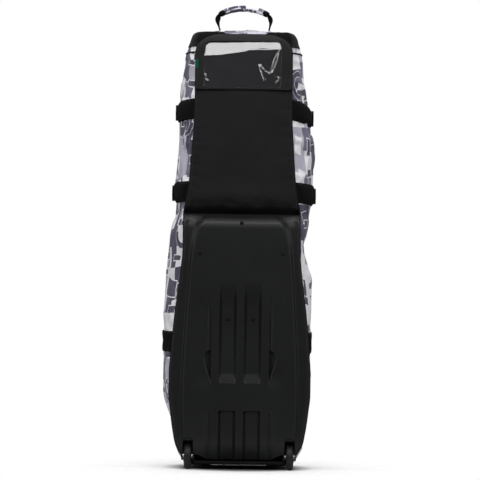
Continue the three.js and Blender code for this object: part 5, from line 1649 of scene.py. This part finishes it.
def build_buckle(level, s):
    tag = level + "_" + ("left" if s < 0 else "right")
    flo, fhi = (v * 1000 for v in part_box("buckle_female_" + tag))
    zc = (flo.z + fhi.z) / 2
    tt0 = np.linspace(0, 1, 200)
    x_in = 0
    for z in (zc - 23, zc, zc + 23):
        S0 = side_point(s, tt0, np.full_like(tt0, z))
        x_in = max(x_in, np.abs(S0[(S0[:, 1] > 4) & (S0[:, 1] < 100), 0]).max() + 0.3)
    hz = (fhi.z - flo.z) / 2
    y0, y1 = flo.y, fhi.y
    X = lambda a, b: (min(s * a, s * b), max(s * a, s * b))
    parts = []

    def shape(outline, a, b, w=0.9):
        lo, hi = X(x_in + a, x_in + b)
        o = prism("p", [(y, zc + z) for y, z in outline], lo, hi, M["buckle"], "x", w, 3)
        apply_mods(o)
        parts.append(o)

    # female half: two faces with a waist, side rails, a bar at the back
    L = y1 - y0
    face = [(y0 + 9, -hz + 1.5), (y0 + 13, -hz), (y1 - 3, -hz), (y1, -hz + 3), (y1, hz - 3), (y1 - 3, hz), (y0 + 13, hz), (y0 + 9, hz - 1.5)]
    waist = []
    for y, z in face:
        waist.append((y, z))
    outline = [(y0 + 9, -hz + 2.5), (y0 + 12, -hz + 0.4), (y0 + 15, -hz), (y0 + 17, -hz + 3.8), (y1 - 7, -hz + 4.6), (y1 - 4.5, -hz), (y1 - 1.5, -hz), (y1, -hz + 2),
               (y1, hz - 2), (y1 - 1.5, hz), (y1 - 4.5, hz), (y1 - 7, hz - 4.6), (y0 + 17, hz - 3.8), (y0 + 15, hz), (y0 + 12, hz - 0.4), (y0 + 9, hz - 2.5)]
    shape(outline, 0, 2.0)
    shape(outline, 9.0, 11.2)
    for sg in (-1, 1):
        shape([(y0 + 9, sg * (hz - 3.2)), (y0 + 16, sg * (hz - 3.2)), (y0 + 16, sg * hz), (y0 + 11, sg * hz), (y0 + 9, sg * (hz - 1.6))], 0.5, 10.6, 0.6)
        shape([(y0, sg * (hz - 3.4)), (y0 + 12, sg * (hz - 3.4)), (y0 + 12, sg * (hz - 0.2)), (y0 + 2, sg * (hz - 0.2)), (y0, sg * (hz - 2))], 0.8, 9.4, 0.8)
    shape([(y0 + 9, -hz + 3), (y0 + 12.5, -hz + 3), (y0 + 12.5, hz - 3), (y0 + 9, hz - 3)], 0.5, 10.6, 0.6)
    # back bar that the band loops round
    P = np.array([(s * (x_in + 5.0), y0 + 2.6, zc - hz + 2), (s * (x_in + 5.0), y0 + 2.6, zc + hz - 2)])
    o = sweep("p", np.linspace(P[0], P[1], 6), (1, 0, 0), round_rect(2.0, 2.6, 1.6, 4), M["buckle"])
    parts.append(o)
    # grip dimples on the outer face
    for k in (-1, 0, 1):
        lo, hi = X(x_in + 10.8, x_in + 11.9)
        o = prism("p", rounded(y0 + 19, y1 - 9, zc + k * 6 - 1.5, zc + k * 6 + 1.5, 1.4, 4), lo, hi, M["buckle"], "x", 0.4, 2)
        apply_mods(o)
        parts.append(o)
    o = join("buckle_socket_" + tag, parts)
    give(o, "case", "buckle", "buckle_female_" + tag)
    # loop of band round the bar
    xb = x_in + 5.0
    path = [(s * (xb + 5.0), y0 - 9, 0), (s * (xb + 4.2), y0 + 1.0, 0), (s * (xb + 2.6), y0 + 5.4, 0), (s * xb, y0 + 6.3, 0), (s * (xb - 2.6), y0 + 5.0, 0), (s * (xb - 3.6), y0 + 1.0, 0), (s * (xb - 3.6), y0 - 7, 0)]
    Q = spline([(x, y, zc) for x, y, _ in path], 40)
    # the two ends come together on the band behind the buckle
    o = sweep("strap_loop_" + tag, Q, (0, 0, 1), round_rect(0.75, 18.6, 0.6, 3), M["webbing"])
    at = o.data.attributes["wuv"]
    uv = np.zeros(len(at.data) * 3, np.float32)
    at.data.foreach_get("vector", uv)
    co = np.zeros(len(o.data.vertices) * 3, np.float32)
    o.data.vertices.foreach_get("co", co)
    uv = uv.reshape(-1, 3)
    uv[:, 0] = co.reshape(-1, 3)[:, 2]
    at.data.foreach_set("vector", uv.ravel())
    give(o, "case", "webbing")

    # male half
    parts = []
    mlo, mhi = (v * 1000 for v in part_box("buckle_male_" + tag))
    zm = (mlo.z + mhi.z) / 2
    hm = (mhi.z - mlo.z) / 2
    ye = mhi.y
    ym = y1 + 0.6
    zc_ = zc
    zc = zm

    shape([(ym, -hm + 1.5), (ym + 2, -hm), (ym + 12, -hm), (ym + 12, hm), (ym + 2, hm), (ym, hm - 1.5)], 2.7, 7.2, 1.0)
    for sg in (-1, 1):
        shape([(ym + 10, sg * (hm - 3.0)), (ye - 2, sg * (hm - 3.0)), (ye, sg * (hm - 2.0)), (ye - 1, sg * hm), (ym + 10, sg * hm)], 2.8, 11.0, 0.8)
    shape([(ye - 5, -hm + 2), (ye - 0.6, -hm + 2), (ye - 0.6, hm - 2), (ye - 5, hm - 2)], 2.8, 6.4, 0.8)
    shape([(ye - 12.5, -hm + 2), (ye - 8.5, -hm + 2), (ye - 8.5, hm - 2), (ye - 12.5, hm - 2)], 9.6, 11.8, 0.7)
    shape([(ym + 10, -hm + 2), (ym + 15, -hm + 2), (ym + 15, hm - 2), (ym + 10, hm - 2)], 3.0, 6.6, 0.8)
    # prongs: sprung arms with thumb pads that show at the socket's waist
    for sg in (-1, 1):
        arm = [(ym + 2, sg * (hz - 14)), (ym + 2, sg * (hz - 8)), (ym - 5, sg * (hz - 6.5)), (ym - 8.5, sg * (hz - 3.9)), (ym - 15, sg * (hz - 3.4)), (ym - 19.5, sg * (hz - 5.5)),
               (ym - 20, sg * (hz - 9)), (ym - 14, sg * (hz - 9.2)), (ym - 6, sg * (hz - 11.5))]
        shape(arm, 3.2, 7.4, 0.7)
    shape([(ym + 2, -3), (ym - 16, -2.2), (ym - 16, 2.2), (ym + 2, 3)], 3.4, 7.2, 0.6)
    o = join("buckle_plug_" + tag, parts)
    give(o, "buckle_" + tag, "buckle", "buckle_male_" + tag)

    # webbing tail: under the cross bar, straight, then down to the front seam
    tlo, thi = (v * 1000 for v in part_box("strap_tail_" + tag))
    straight = 107.0
    x8 = x_in + 8.2
    pts = [(x8, y1 + 8), (x8, (y1 + straight) / 2), (x8, straight - 4)]
    tt = np.linspace(0, 1, 400)
    S = side_point(s, tt, np.full_like(tt, zm))
    for y in (128, 142, 152, 160):
        q = float(np.interp(y, S[:, 1], tt))
        p = side_point(s, np.array([q]), np.array([zm]))[0]
        pts.append((abs(p[0]) + 2.6, y))
    Q = spline([(s * x, y, zm) for x, y in pts], 60)
    o = sweep("strap_tail_cloth_" + tag, Q, (0, 0, 1), round_rect(0.8, 19, 0.6, 3), M["webbing"])
    at = o.data.attributes["wuv"]
    uv = np.zeros(len(at.data) * 3, np.float32)
    at.data.foreach_get("vector", uv)
    uv = uv.reshape(-1, 3)
    co = np.zeros(len(o.data.vertices) * 3, np.float32)
    o.data.vertices.foreach_get("co", co)
    uv[:, 0] = co.reshape(-1, 3)[:, 2]
    at.data.foreach_set("vector", uv.ravel())
    # the whole tail is baked in place, its sewn end at the seam
    give_bending(o, ("buckle_" + tag, "case"), ((s * x8 * MM, (y1 + 16) * MM, zm * MM), (s * x8 * MM, 0.150, zm * MM)), "webbing", "strap_tail_" + tag)


for level in ("upper", "middle"):
    for s in (-1, 1):
        build_buckle(level, s)


# ---------------------------------------------------------------- wheels
def build_wheel(s):
    side = "left" if s < 0 else "right"
    c = (s * WHEEL[0], WHEEL[1], WHEEL[2])
    # tyre with a rounded tread and a moulding line
    prof = []
    for a in np.linspace(-90, 90, 27):
        r = math.radians(a)
        prof.append((31.0 + 7.0 * math.cos(r) ** 0.8, 11.0 * math.sin(r) * (1 if abs(a) < 80 else 1)))
    prof = [(25.8, -9), (28.0, -10.2)] + prof + [(28.0, 10.2), (25.8, 9)]
    o = lathe("tyre_" + side, prof, c, M["rubber"], "x", 120)
    give(o, "wheel_" + side, "tyre", "wheel_tyre_" + side)
    # hub: rim, web with spoke windows, boss
    parts = [lathe("p", [(22.6, -9.4), (23.2, -9.8), (25.0, -9.6), (25.6, -9), (25.6, 9), (25.0, 9.6), (23.2, 9.8), (22.6, 9.4), (21.8, 5), (21.8, -5)], c, M["hub"], "x", 96)]
    parts.append(lathe("p", [(11.2, -9.9), (14.6, -9.9), (15.4, -9.2), (15.8, -5), (15.8, 5), (15.4, 9.2), (14.6, 9.9), (11.2, 9.9)], c, M["hub"], "x", 64))
    for k in range(7):
        a = 2 * math.pi * k / 7
        ca, sa = math.cos(a), math.sin(a)
        P = np.array([[c[0], c[1] + r * ca, c[2] + r * sa] for r in np.linspace(14.5, 22.6, 6)])
        parts.append(sweep("p", P, (1, 0, 0), lambda f: round_rect(3.1 - 0.9 * math.sin(math.pi * f), 6.2 - 1.2 * math.sin(math.pi * f), 1.2, 3), M["hub"]))
    o = join("hub_" + side, parts)
    give(o, "wheel_" + side, "hub", "wheel_hub_" + side)
    # bearings: outer ring, shield, inner ring on both sides
    parts = []
    for sg in (-1, 1):
        q = lambda r, x: (r, sg * x)
        parts.append(lathe("p", [q(9.4, 9.9), q(10.9, 9.9), q(11.0, 9.7), q(11.0, 3.2), q(9.4, 3.2)], c, M["steel"], "x", 56))
        parts.append(lathe("p", [q(4.35, 10.5), q(6.1, 10.5), q(6.1, 3.2), q(4.35, 3.2)], c, M["steel"], "x", 48))
        parts.append(lathe("p", [q(6.2, 9.5), q(9.3, 9.3), q(9.3, 8.6), q(6.2, 8.6)], c, M["dark_steel"], "x", 48))
    o = join("bearing_" + side, parts)
    give(o, "wheel_" + side, "steel", "wheel_bearing_" + side)


build_wheel(-1)
build_wheel(1)

# black push-on caps over the axles' outer ends
for side, s in (("left", -1), ("right", 1)):
    lo_, hi_ = (v * 1000 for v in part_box("wheel_axle_" + side))
    end, r_ = (lo_[0] if s < 0 else hi_[0]), (hi_[2] - lo_[2]) / 2
    prof = [(0, 1.5), (r_ * 0.55, 1.45), (r_ + 0.3, 1.1), (r_ + 0.8, 0.3), (r_ + 0.8, -0.6), (r_ + 0.2, -0.6), (r_ + 0.2, 0.2), (0, 0.2)]
    o = lathe("axle_cap_" + side, [(r, s * a) for r, a in prof], (end, WHEEL[1], WHEEL[2]), M["rivet"], "x", 40)
    give(o, "case", "hub")

# ---------------------------------------------------------------- base tray
def build_base():
    t = np.linspace(0, 1, 40)
    z = np.full_like(t, 22.0)
    R, Lp = side_point(1, t, z)[:, :2], side_point(-1, t, z)[:, :2]
    out = np.vstack([R, Lp[::-1]])
    c = np.array([0.0, 0.0])
    rows = [(0.90, 14.1), (0.955, 13.9), (0.982, 15.2), (0.995, 18.5), (0.998, 23.5), (0.97, 24.2), (0.90, 24.2)]
    m = len(out)
    V = np.concatenate([np.stack([out[:, 0] * k, out[:, 1] * k, np.full(m, h)], 1) for k, h in rows])
    F = []
    for r in range(len(rows) - 1):
        for i in range(m):
            j = (i + 1) % m
            F.append((r * m + i, r * m + j, (r + 1) * m + j, (r + 1) * m + i))
    F.append(list(range(m))[::-1])
    F.append([(len(rows) - 1) * m + i for i in range(m)])
    o = finish_mesh("base_tray", V, F, M["shell"], V[:, :2])
    cut = []
    for s in (-1, 1):
        cut.append(prism("cut", rounded(s * WHEEL[0] - 18.9, s * WHEEL[0] + 18.9, -240, -97.5, [3, 3, 3, 3], 3), -5, 60, None, "z", smooth=False))
    for c_ in cut:
        md = o.modifiers.new("slot", "BOOLEAN")
        md.operation, md.object, md.solver = "DIFFERENCE", c_, "EXACT"
    apply_mods(o)
    for c_ in cut:
        bpy.data.objects.remove(c_)
    auto_smooth(o, 30)
    give(o, "case", "shell", "base_pan")
    # moulded ribs across the underside
    parts = []
    for x in (-84, -42, 0, 42, 84):
        parts.append(prism("p", rounded(x - 3, x + 3, -120, 104, 2.8, 4), 12.0, 14.4, M["shell"], "z", 0.8, 2))
        apply_mods(parts[-1])
    # a skid rail between the front feet
    parts.append(prism("p", rounded(-92, 92, 97, 104, 3.2, 4), 3.0, 14.4, M["shell"], "z", 0.8, 2))
    apply_mods(parts[-1])
    o = join("base_ribs", parts)
    give(o, "case", "shell")


build_base()


# ---------------------------------------------------------------- pocket on the flap
def build_flap_pocket():
    X, Z = np.meshgrid(np.linspace(-96, 96, 110), np.linspace(420, 980, 300), indexing="ij")
    d = np.minimum(96 - np.abs(X), np.minimum(Z - 420, 980 - Z))
    zip_ = np.maximum(np.abs(X + 66) - 9, np.abs(Z - 715) - 262)
    Y = FRONT_Y + 4.0 + 6.0 * sm(0, 9, d) + 0.8 * fbm(X / 45, Z / 60, 0 * Z, 88, 3) * sm(4, 20, d) * sm(0, 14, zip_)
    A = np.stack([X, Y, Z], -1)
    pin = np.maximum(1 - sm(0, 8, d), 1 - sm(0, 8, zip_))
    A = A + relaxed(A, 44, 120, pin, 0.018, 2.0, 5.0, flip=True) * np.array([0.4, 1.0, 0.4])
    A[..., 1] = np.where(zip_ < 3, np.minimum(A[..., 1], FRONT_Y + 10.0), np.maximum(A[..., 1], FRONT_Y + 3.5))
    B = A.copy()
    B[..., 1] = FRONT_Y + 3.0
    o = two_skins("flap_pocket_cloth", A, B, M["print"], np.stack([X + 1500, Z + 300], -1))
    give(o, "flap", "print_fabric", "flap_pocket")
    ring = dense(np.array(rounded(-96, 96, 420, 980, 5, 5)), 420)
    P = np.stack([ring[:, 0], np.full(len(ring), FRONT_Y + 3.6), ring[:, 1]], 1)
    give(sweep("flap_pocket_binding", P, (0, 1, 0), round_rect(2.4, 2.4, 1.9, 4), M["black_frame"], closed=True), "flap", "black_fabric")
    i0, i1 = int(np.argmin(np.abs(X[:, 0] + 90))), int(np.argmin(np.abs(X[:, 0] - 90)))
    j0, j1 = int(np.argmin(np.abs(Z[0] - 426))), int(np.argmin(np.abs(Z[0] - 974)))
    up = np.array([0, 1.0, 0])
    lines = [(A[i0, j0 : j1 + 1], up), (A[i1, j0 : j1 + 1], up), (A[i0 : i1 + 1, j0], up), (A[i0 : i1 + 1, j1], up)]
    give(stitches("flap_pocket_stitch", lines, M["thread_light"], 3.4, 1.6), "flap", "webbing")
    # zipper tape and teeth down its left side
    o = prism("pocket_zip_tape", rounded(-75, -57, 452, 968, 3, 3), FRONT_Y + 9.6, FRONT_Y + 10.05, M["black_frame"], "y")
    give(o, "flap", "zipper")
    V, F = [], []
    for i, z in enumerate(np.arange(460, 962, 1.7)):
        x = -66 + (0.7 if i % 2 else -0.7)
        k = len(V)
        for y in (FRONT_Y + 9.9, FRONT_Y + 10.3):
            for a, b in ((-1, -1), (1, -1), (1, 1), (-1, 1)):
                V.append((x + 1.3 * b, y, z + 0.6 * a))
        F += [(k, k + 1, k + 2, k + 3), (k + 4, k + 7, k + 6, k + 5), (k, k + 4, k + 5, k + 1), (k + 1, k + 5, k + 6, k + 2), (k + 2, k + 6, k + 7, k + 3), (k + 3, k + 7, k + 4, k)]
    o = finish_mesh("pocket_zip_teeth", V, F, M["zip"], smooth=False)
    give(o, "flap", "zipper")


build_flap_pocket()

# ---------------------------------------------------------------- rivets
for n in ("rivet_top", "rivet_left_upper", "rivet_right_upper", "rivet_left_lower", "rivet_right_lower"):
    lo, hi = (v * 1000 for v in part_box(n))
    c = ((lo.x + hi.x) / 2, lo.y, (lo.z + hi.z) / 2)
    prof = [(0.01, 0.0), (2.6, 0.25), (4.3, 0.9), (5.2, 1.7), (5.5, 2.3), (5.3, 2.7), (2.2, 2.7), (2.2, 9.0), (0.01, 9.0)]
    o = lathe(n + "_head", prof, c, M["rivet"], "y", 32)
    give(o, "case", "steel", n)

# ---------------------------------------------------------------- zipper pulls, grab handle, inner strap
def build_pull(node, body):
    """A wire ring through the slider's bail, and a folded, ribbed tab."""
    lo, hi = (v * 1000 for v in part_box(node))
    x, y = (lo.x + hi.x) / 2, (lo.y + hi.y) / 2
    half = (hi.x - lo.x) / 2
    top, low = hi.z - 0.9, hi.z - min(7.5, 0.34 * (hi.z - lo.z))
    ring = spline([(x - half + 2.0, y, top), (x + half - 2.0, y, top), (x + half - 0.9, y, (top + low) / 2), (x + half - 1.6, y, low - 1.4), (x - half + 1.6, y, low - 1.4), (x - half + 0.9, y, (top + low) / 2)], 60, True)
    parts = [sweep("p", ring, (0, 1, 0), circle(0.62, 10), M["dark_steel"], closed=True)]
    tab = prism("p", rounded(x - half + 0.7, x + half - 0.7, lo.z + 0.2, low, [1.4, 1.4, 2.6, 2.6], 6), y - 0.8, y + 0.8, M["buckle"], "y", 0.45, 3)
    apply_mods(tab)
    parts.append(tab)
    for z in np.arange(lo.z + 3.5, low - 3.0, 2.2):
        rib = sweep("p", [(x - half + 2.2, y + 0.75, z), (x, y + 0.75, z), (x + half - 2.2, y + 0.75, z)], (0, 1, 0), circle(0.38, 8), M["buckle"])
        parts.append(rib)
    o = join(node + "_tab", parts)
    give(o, body, "webbing", node)


PULL_BODY = {"zip_pull_upper": "zip_upper_pull", "zip_pull_lower": "zip_lower_pull", "pocket_zip_pull": "pocket_pull"}
for node, body in PULL_BODY.items():
    build_pull(node, body)


def build_grab():
    inner = dense(np.array(rounded(-52, 52, 178.4, 199.6, 5, 6)), 260)
    outer = match(inner, np.array(rounded(-74, 74, 152, 208, [4, 4, 16, 16], 8)))
    rows = 15
    sh = np.linspace(0, 1, rows)
    P = inner[:, None] * (1 - sh)[None, :, None] + outer[:, None] * sh[None, :, None]
    wide = np.linalg.norm(outer - inner, axis=1)[:, None]
    e = np.minimum(sh, 1 - sh)[None] * wide
    Y = FRONT_Y + 2.9 + 2.9 * sm(-1.5, 6, e) + 0.25 * np.sin(P[..., 0] / 3.2) * sm(1, 6, e)
    A = np.stack([P[..., 0], Y, P[..., 1]], -1)
    B = A.copy()
    B[..., 1] = FRONT_Y + 1.2
    m = len(inner)
    n = m * rows
    F = [quads(m, rows, 0, wrap_u=True), quads(m, rows, n, True, wrap_u=True)]
    rim = []
    for i in range(m):
        j = (i + 1) % m
        rim.append((i * rows, j * rows, n + j * rows, n + i * rows))
        rim.append((i * rows + rows - 1, n + i * rows + rows - 1, n + j * rows + rows - 1, j * rows + rows - 1))
    uv = np.concatenate([P.reshape(-1, 2)[:, ::-1]] * 2)
    o = finish_mesh("grab_handle_band", np.concatenate([A.reshape(-1, 3), B.reshape(-1, 3)]), np.concatenate(F + [np.array(rim)]), M["webbing"], uv)
    give(o, "grab_handle", "webbing", "foot_grab_handle")
    k = [3, rows - 4]
    give(stitches("grab_handle_stitch", [(np.vstack([A[:, q], A[:1, q]]), (0, 1, 0)) for q in k], M["thread"], 2.6, 1.4), "grab_handle", "webbing")


build_grab()


def build_cinch():
    X, Z = np.meshgrid(np.linspace(-150, 150, 120), np.linspace(655.4, 692.6, 12), indexing="ij")
    wave = 0.35 * np.sin(X / 17) * (1 - np.abs(X / 150) ** 6)
    A = np.stack([X, -161.9 + wave, Z], -1)
    B = A.copy()
    B[..., 1] = -163.8
    give(two_skins("cinch_strap_band", A, B, M["webbing"], np.stack([Z, X], -1)), "case", "webbing", "inner_cinch_strap")
    lines = [(A[:, j] + np.array([0, 0.1, 0]), (0, 1, 0)) for j in (1, -2)]
    give(stitches("cinch_stitch", lines, M["thread"], 2.8, 1.4), "case", "webbing")


build_cinch()

# ---------------------------------------------------------------- carried-over CAD nodes
KEEP = {
    "wheel_housing_left": ("shell", 0.8), "wheel_housing_right": ("shell", 0.8), "wheel_axle_left": ("steel", 0.3),
    "wheel_axle_right": ("steel", 0.3), "front_foot_left": ("hub", 1.6), "front_foot_right": ("hub", 1.6),
    "zip_slider_upper": ("dark_steel", 0.5), "zip_slider_lower": ("dark_steel", 0.5), "pocket_zip_slider": ("dark_steel", 0.5),
    "main_zipper_coil": ("zip", 0.6),
}
for n, (m, w) in KEEP.items():
    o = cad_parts[n]
    for sl in o.material_slots:
        sl.link = "OBJECT"
        sl.material = M[m]
    if w:
        bevel(o, w, 2)

# ---------------------------------------------------------------- floor, light, camera
def build_stage():
    t = Tree("studio_floor")
    c = t.coords()
    # the floor melts into the white round it, and is open to a look from underneath; a painted contact shadow makes it
    # darkest right under the case
    x, y, _ = t.sep(c)
    # painted shadow: inside an oval round the case's footprint the floor colour goes down to dark grey
    ex, ey = t.m("DIVIDE", x, 0.225), t.m("DIVIDE", y, 0.29)
    near = t.m("SQRT", t.m("ADD", t.m("MULTIPLY", ex, ex), t.m("MULTIPLY", ey, ey)))
    white = t.mix(t.noise(c, 3, 2.0), (0.945, 0.945, 0.95), (0.965, 0.965, 0.968))
    t.set(Base_Color=t.mix(t.ramp(near, [(0.62, 0.0), (1.0, 1.0)]), (0.12, 0.12, 0.12), white), Roughness=0.75, Specular_IOR_Level=0.1)
    far = t.m("SQRT", t.m("ADD", t.m("MULTIPLY", x, x), t.m("MULTIPLY", y, y)))
    gone = t.ramp(t.m("DIVIDE", far, 4.0), [(0.042, 0.0), (0.15, 1.0)])
    geo = t.nt.nodes.new("ShaderNodeNewGeometry")
    gone = t.m("MAXIMUM", gone, geo.outputs["Backfacing"])
    clear = t.nt.nodes.new("ShaderNodeBsdfTransparent")
    both = t.nt.nodes.new("ShaderNodeMixShader")
    t.put(both.inputs[0], gone)
    t.nt.links.new(t.p.outputs[0], both.inputs[1])
    t.nt.links.new(clear.outputs[0], both.inputs[2])
    t.nt.links.new(both.outputs[0], t.out.inputs[0])
    n = 64
    V = [(0, 0, -0.0005)] + [(4 * math.cos(2 * math.pi * i / n), 4 * math.sin(2 * math.pi * i / n), -0.0005) for i in range(n)]
    F = [(0, 1 + i, 1 + (i + 1) % n) for i in range(n)]
    me = bpy.data.meshes.new("studio_floor")
    me.from_pydata(V, [], F)
    me.materials.append(t.mat)
    o = bpy.data.objects.new("studio_floor", me)
    bpy.context.scene.collection.objects.link(o)


def area(name, loc, target, size, power, color=(1, 1, 1)):
    L = bpy.data.lights.new(name, "AREA")
    L.shape = "RECTANGLE"
    L.size, L.size_y = size
    L.energy = power
    L.color = color
    o = bpy.data.objects.new(name, L)
    o.location = loc
    d = Vector(target) - Vector(loc)
    o.rotation_euler = d.to_track_quat("-Z", "Y").to_euler()
    bpy.context.scene.collection.objects.link(o)
    return o


def build_light():
    w = bpy.data.worlds.new("studio")
    bpy.context.scene.world = w
    w.use_nodes = True
    nt = w.node_tree
    bg = nt.nodes["Background"]
    bg.inputs[0].default_value = (1, 1, 1, 1)
    # plain white behind everything, and only a little light from all round
    path = nt.nodes.new("ShaderNodeLightPath")
    mul = nt.nodes.new("ShaderNodeMath")
    mul.operation = "MULTIPLY_ADD"
    mul.inputs[1].default_value, mul.inputs[2].default_value = 0.85, 0.15
    nt.links.new(path.outputs["Is Camera Ray"], mul.inputs[0])
    nt.links.new(mul.outputs[0], bg.inputs[1])
    area("overhead", (0, -0.3, 4.2), (0, 0, 0.6), (3.4, 3.0), 84)
    area("front_top", (0, -3.7, 3.5), (0, 0, 1.0), (3.2, 1.2), 112)
    area("left", (-3.4, -2.3, 1.5), (0, 0, 0.7), (1.2, 2.4), 24)
    area("right", (3.4, -2.3, 1.5), (0, 0, 0.7), (1.2, 2.4), 22)
    area("back_left", (-3.0, 2.0, 1.9), (0, 0, 0.7), (1.4, 2.2), 30)
    area("back_right", (3.0, 2.0, 1.9), (0, 0, 0.7), (1.4, 2.2), 30)
    area("front_low", (0, 3.6, 2.2), (0, 0, 0.7), (2.2, 1.8), 34)


def build_camera():
    cam = bpy.data.cameras.new("camera")
    cam.sensor_width = 36.0
    D = 14.0
    width = 480 * 2.9e-3  # metres seen across at the back face
    cam.lens = 36.0 * D / width
    o = bpy.data.objects.new("camera", cam)
    bpy.context.scene.collection.objects.link(o)
    from mathutils import Matrix
    # turned a little about its view axis, so that the case leans to the right
    o.matrix_world = Matrix.Translation((-0.0045, -0.17 - D, (470 - 240) * 2.9e-3)) @ Matrix.Rotation(math.radians(90), 4, "X") @ Matrix.Rotation(math.radians(0.80), 4, "Z")
    cam.clip_end = 100
    bpy.context.scene.camera = o


build_stage()
build_light()
build_camera()
vs = bpy.context.scene.view_settings
vs.view_transform = "Standard"
vs.look = "None"

lo, hi = CAD_BOX
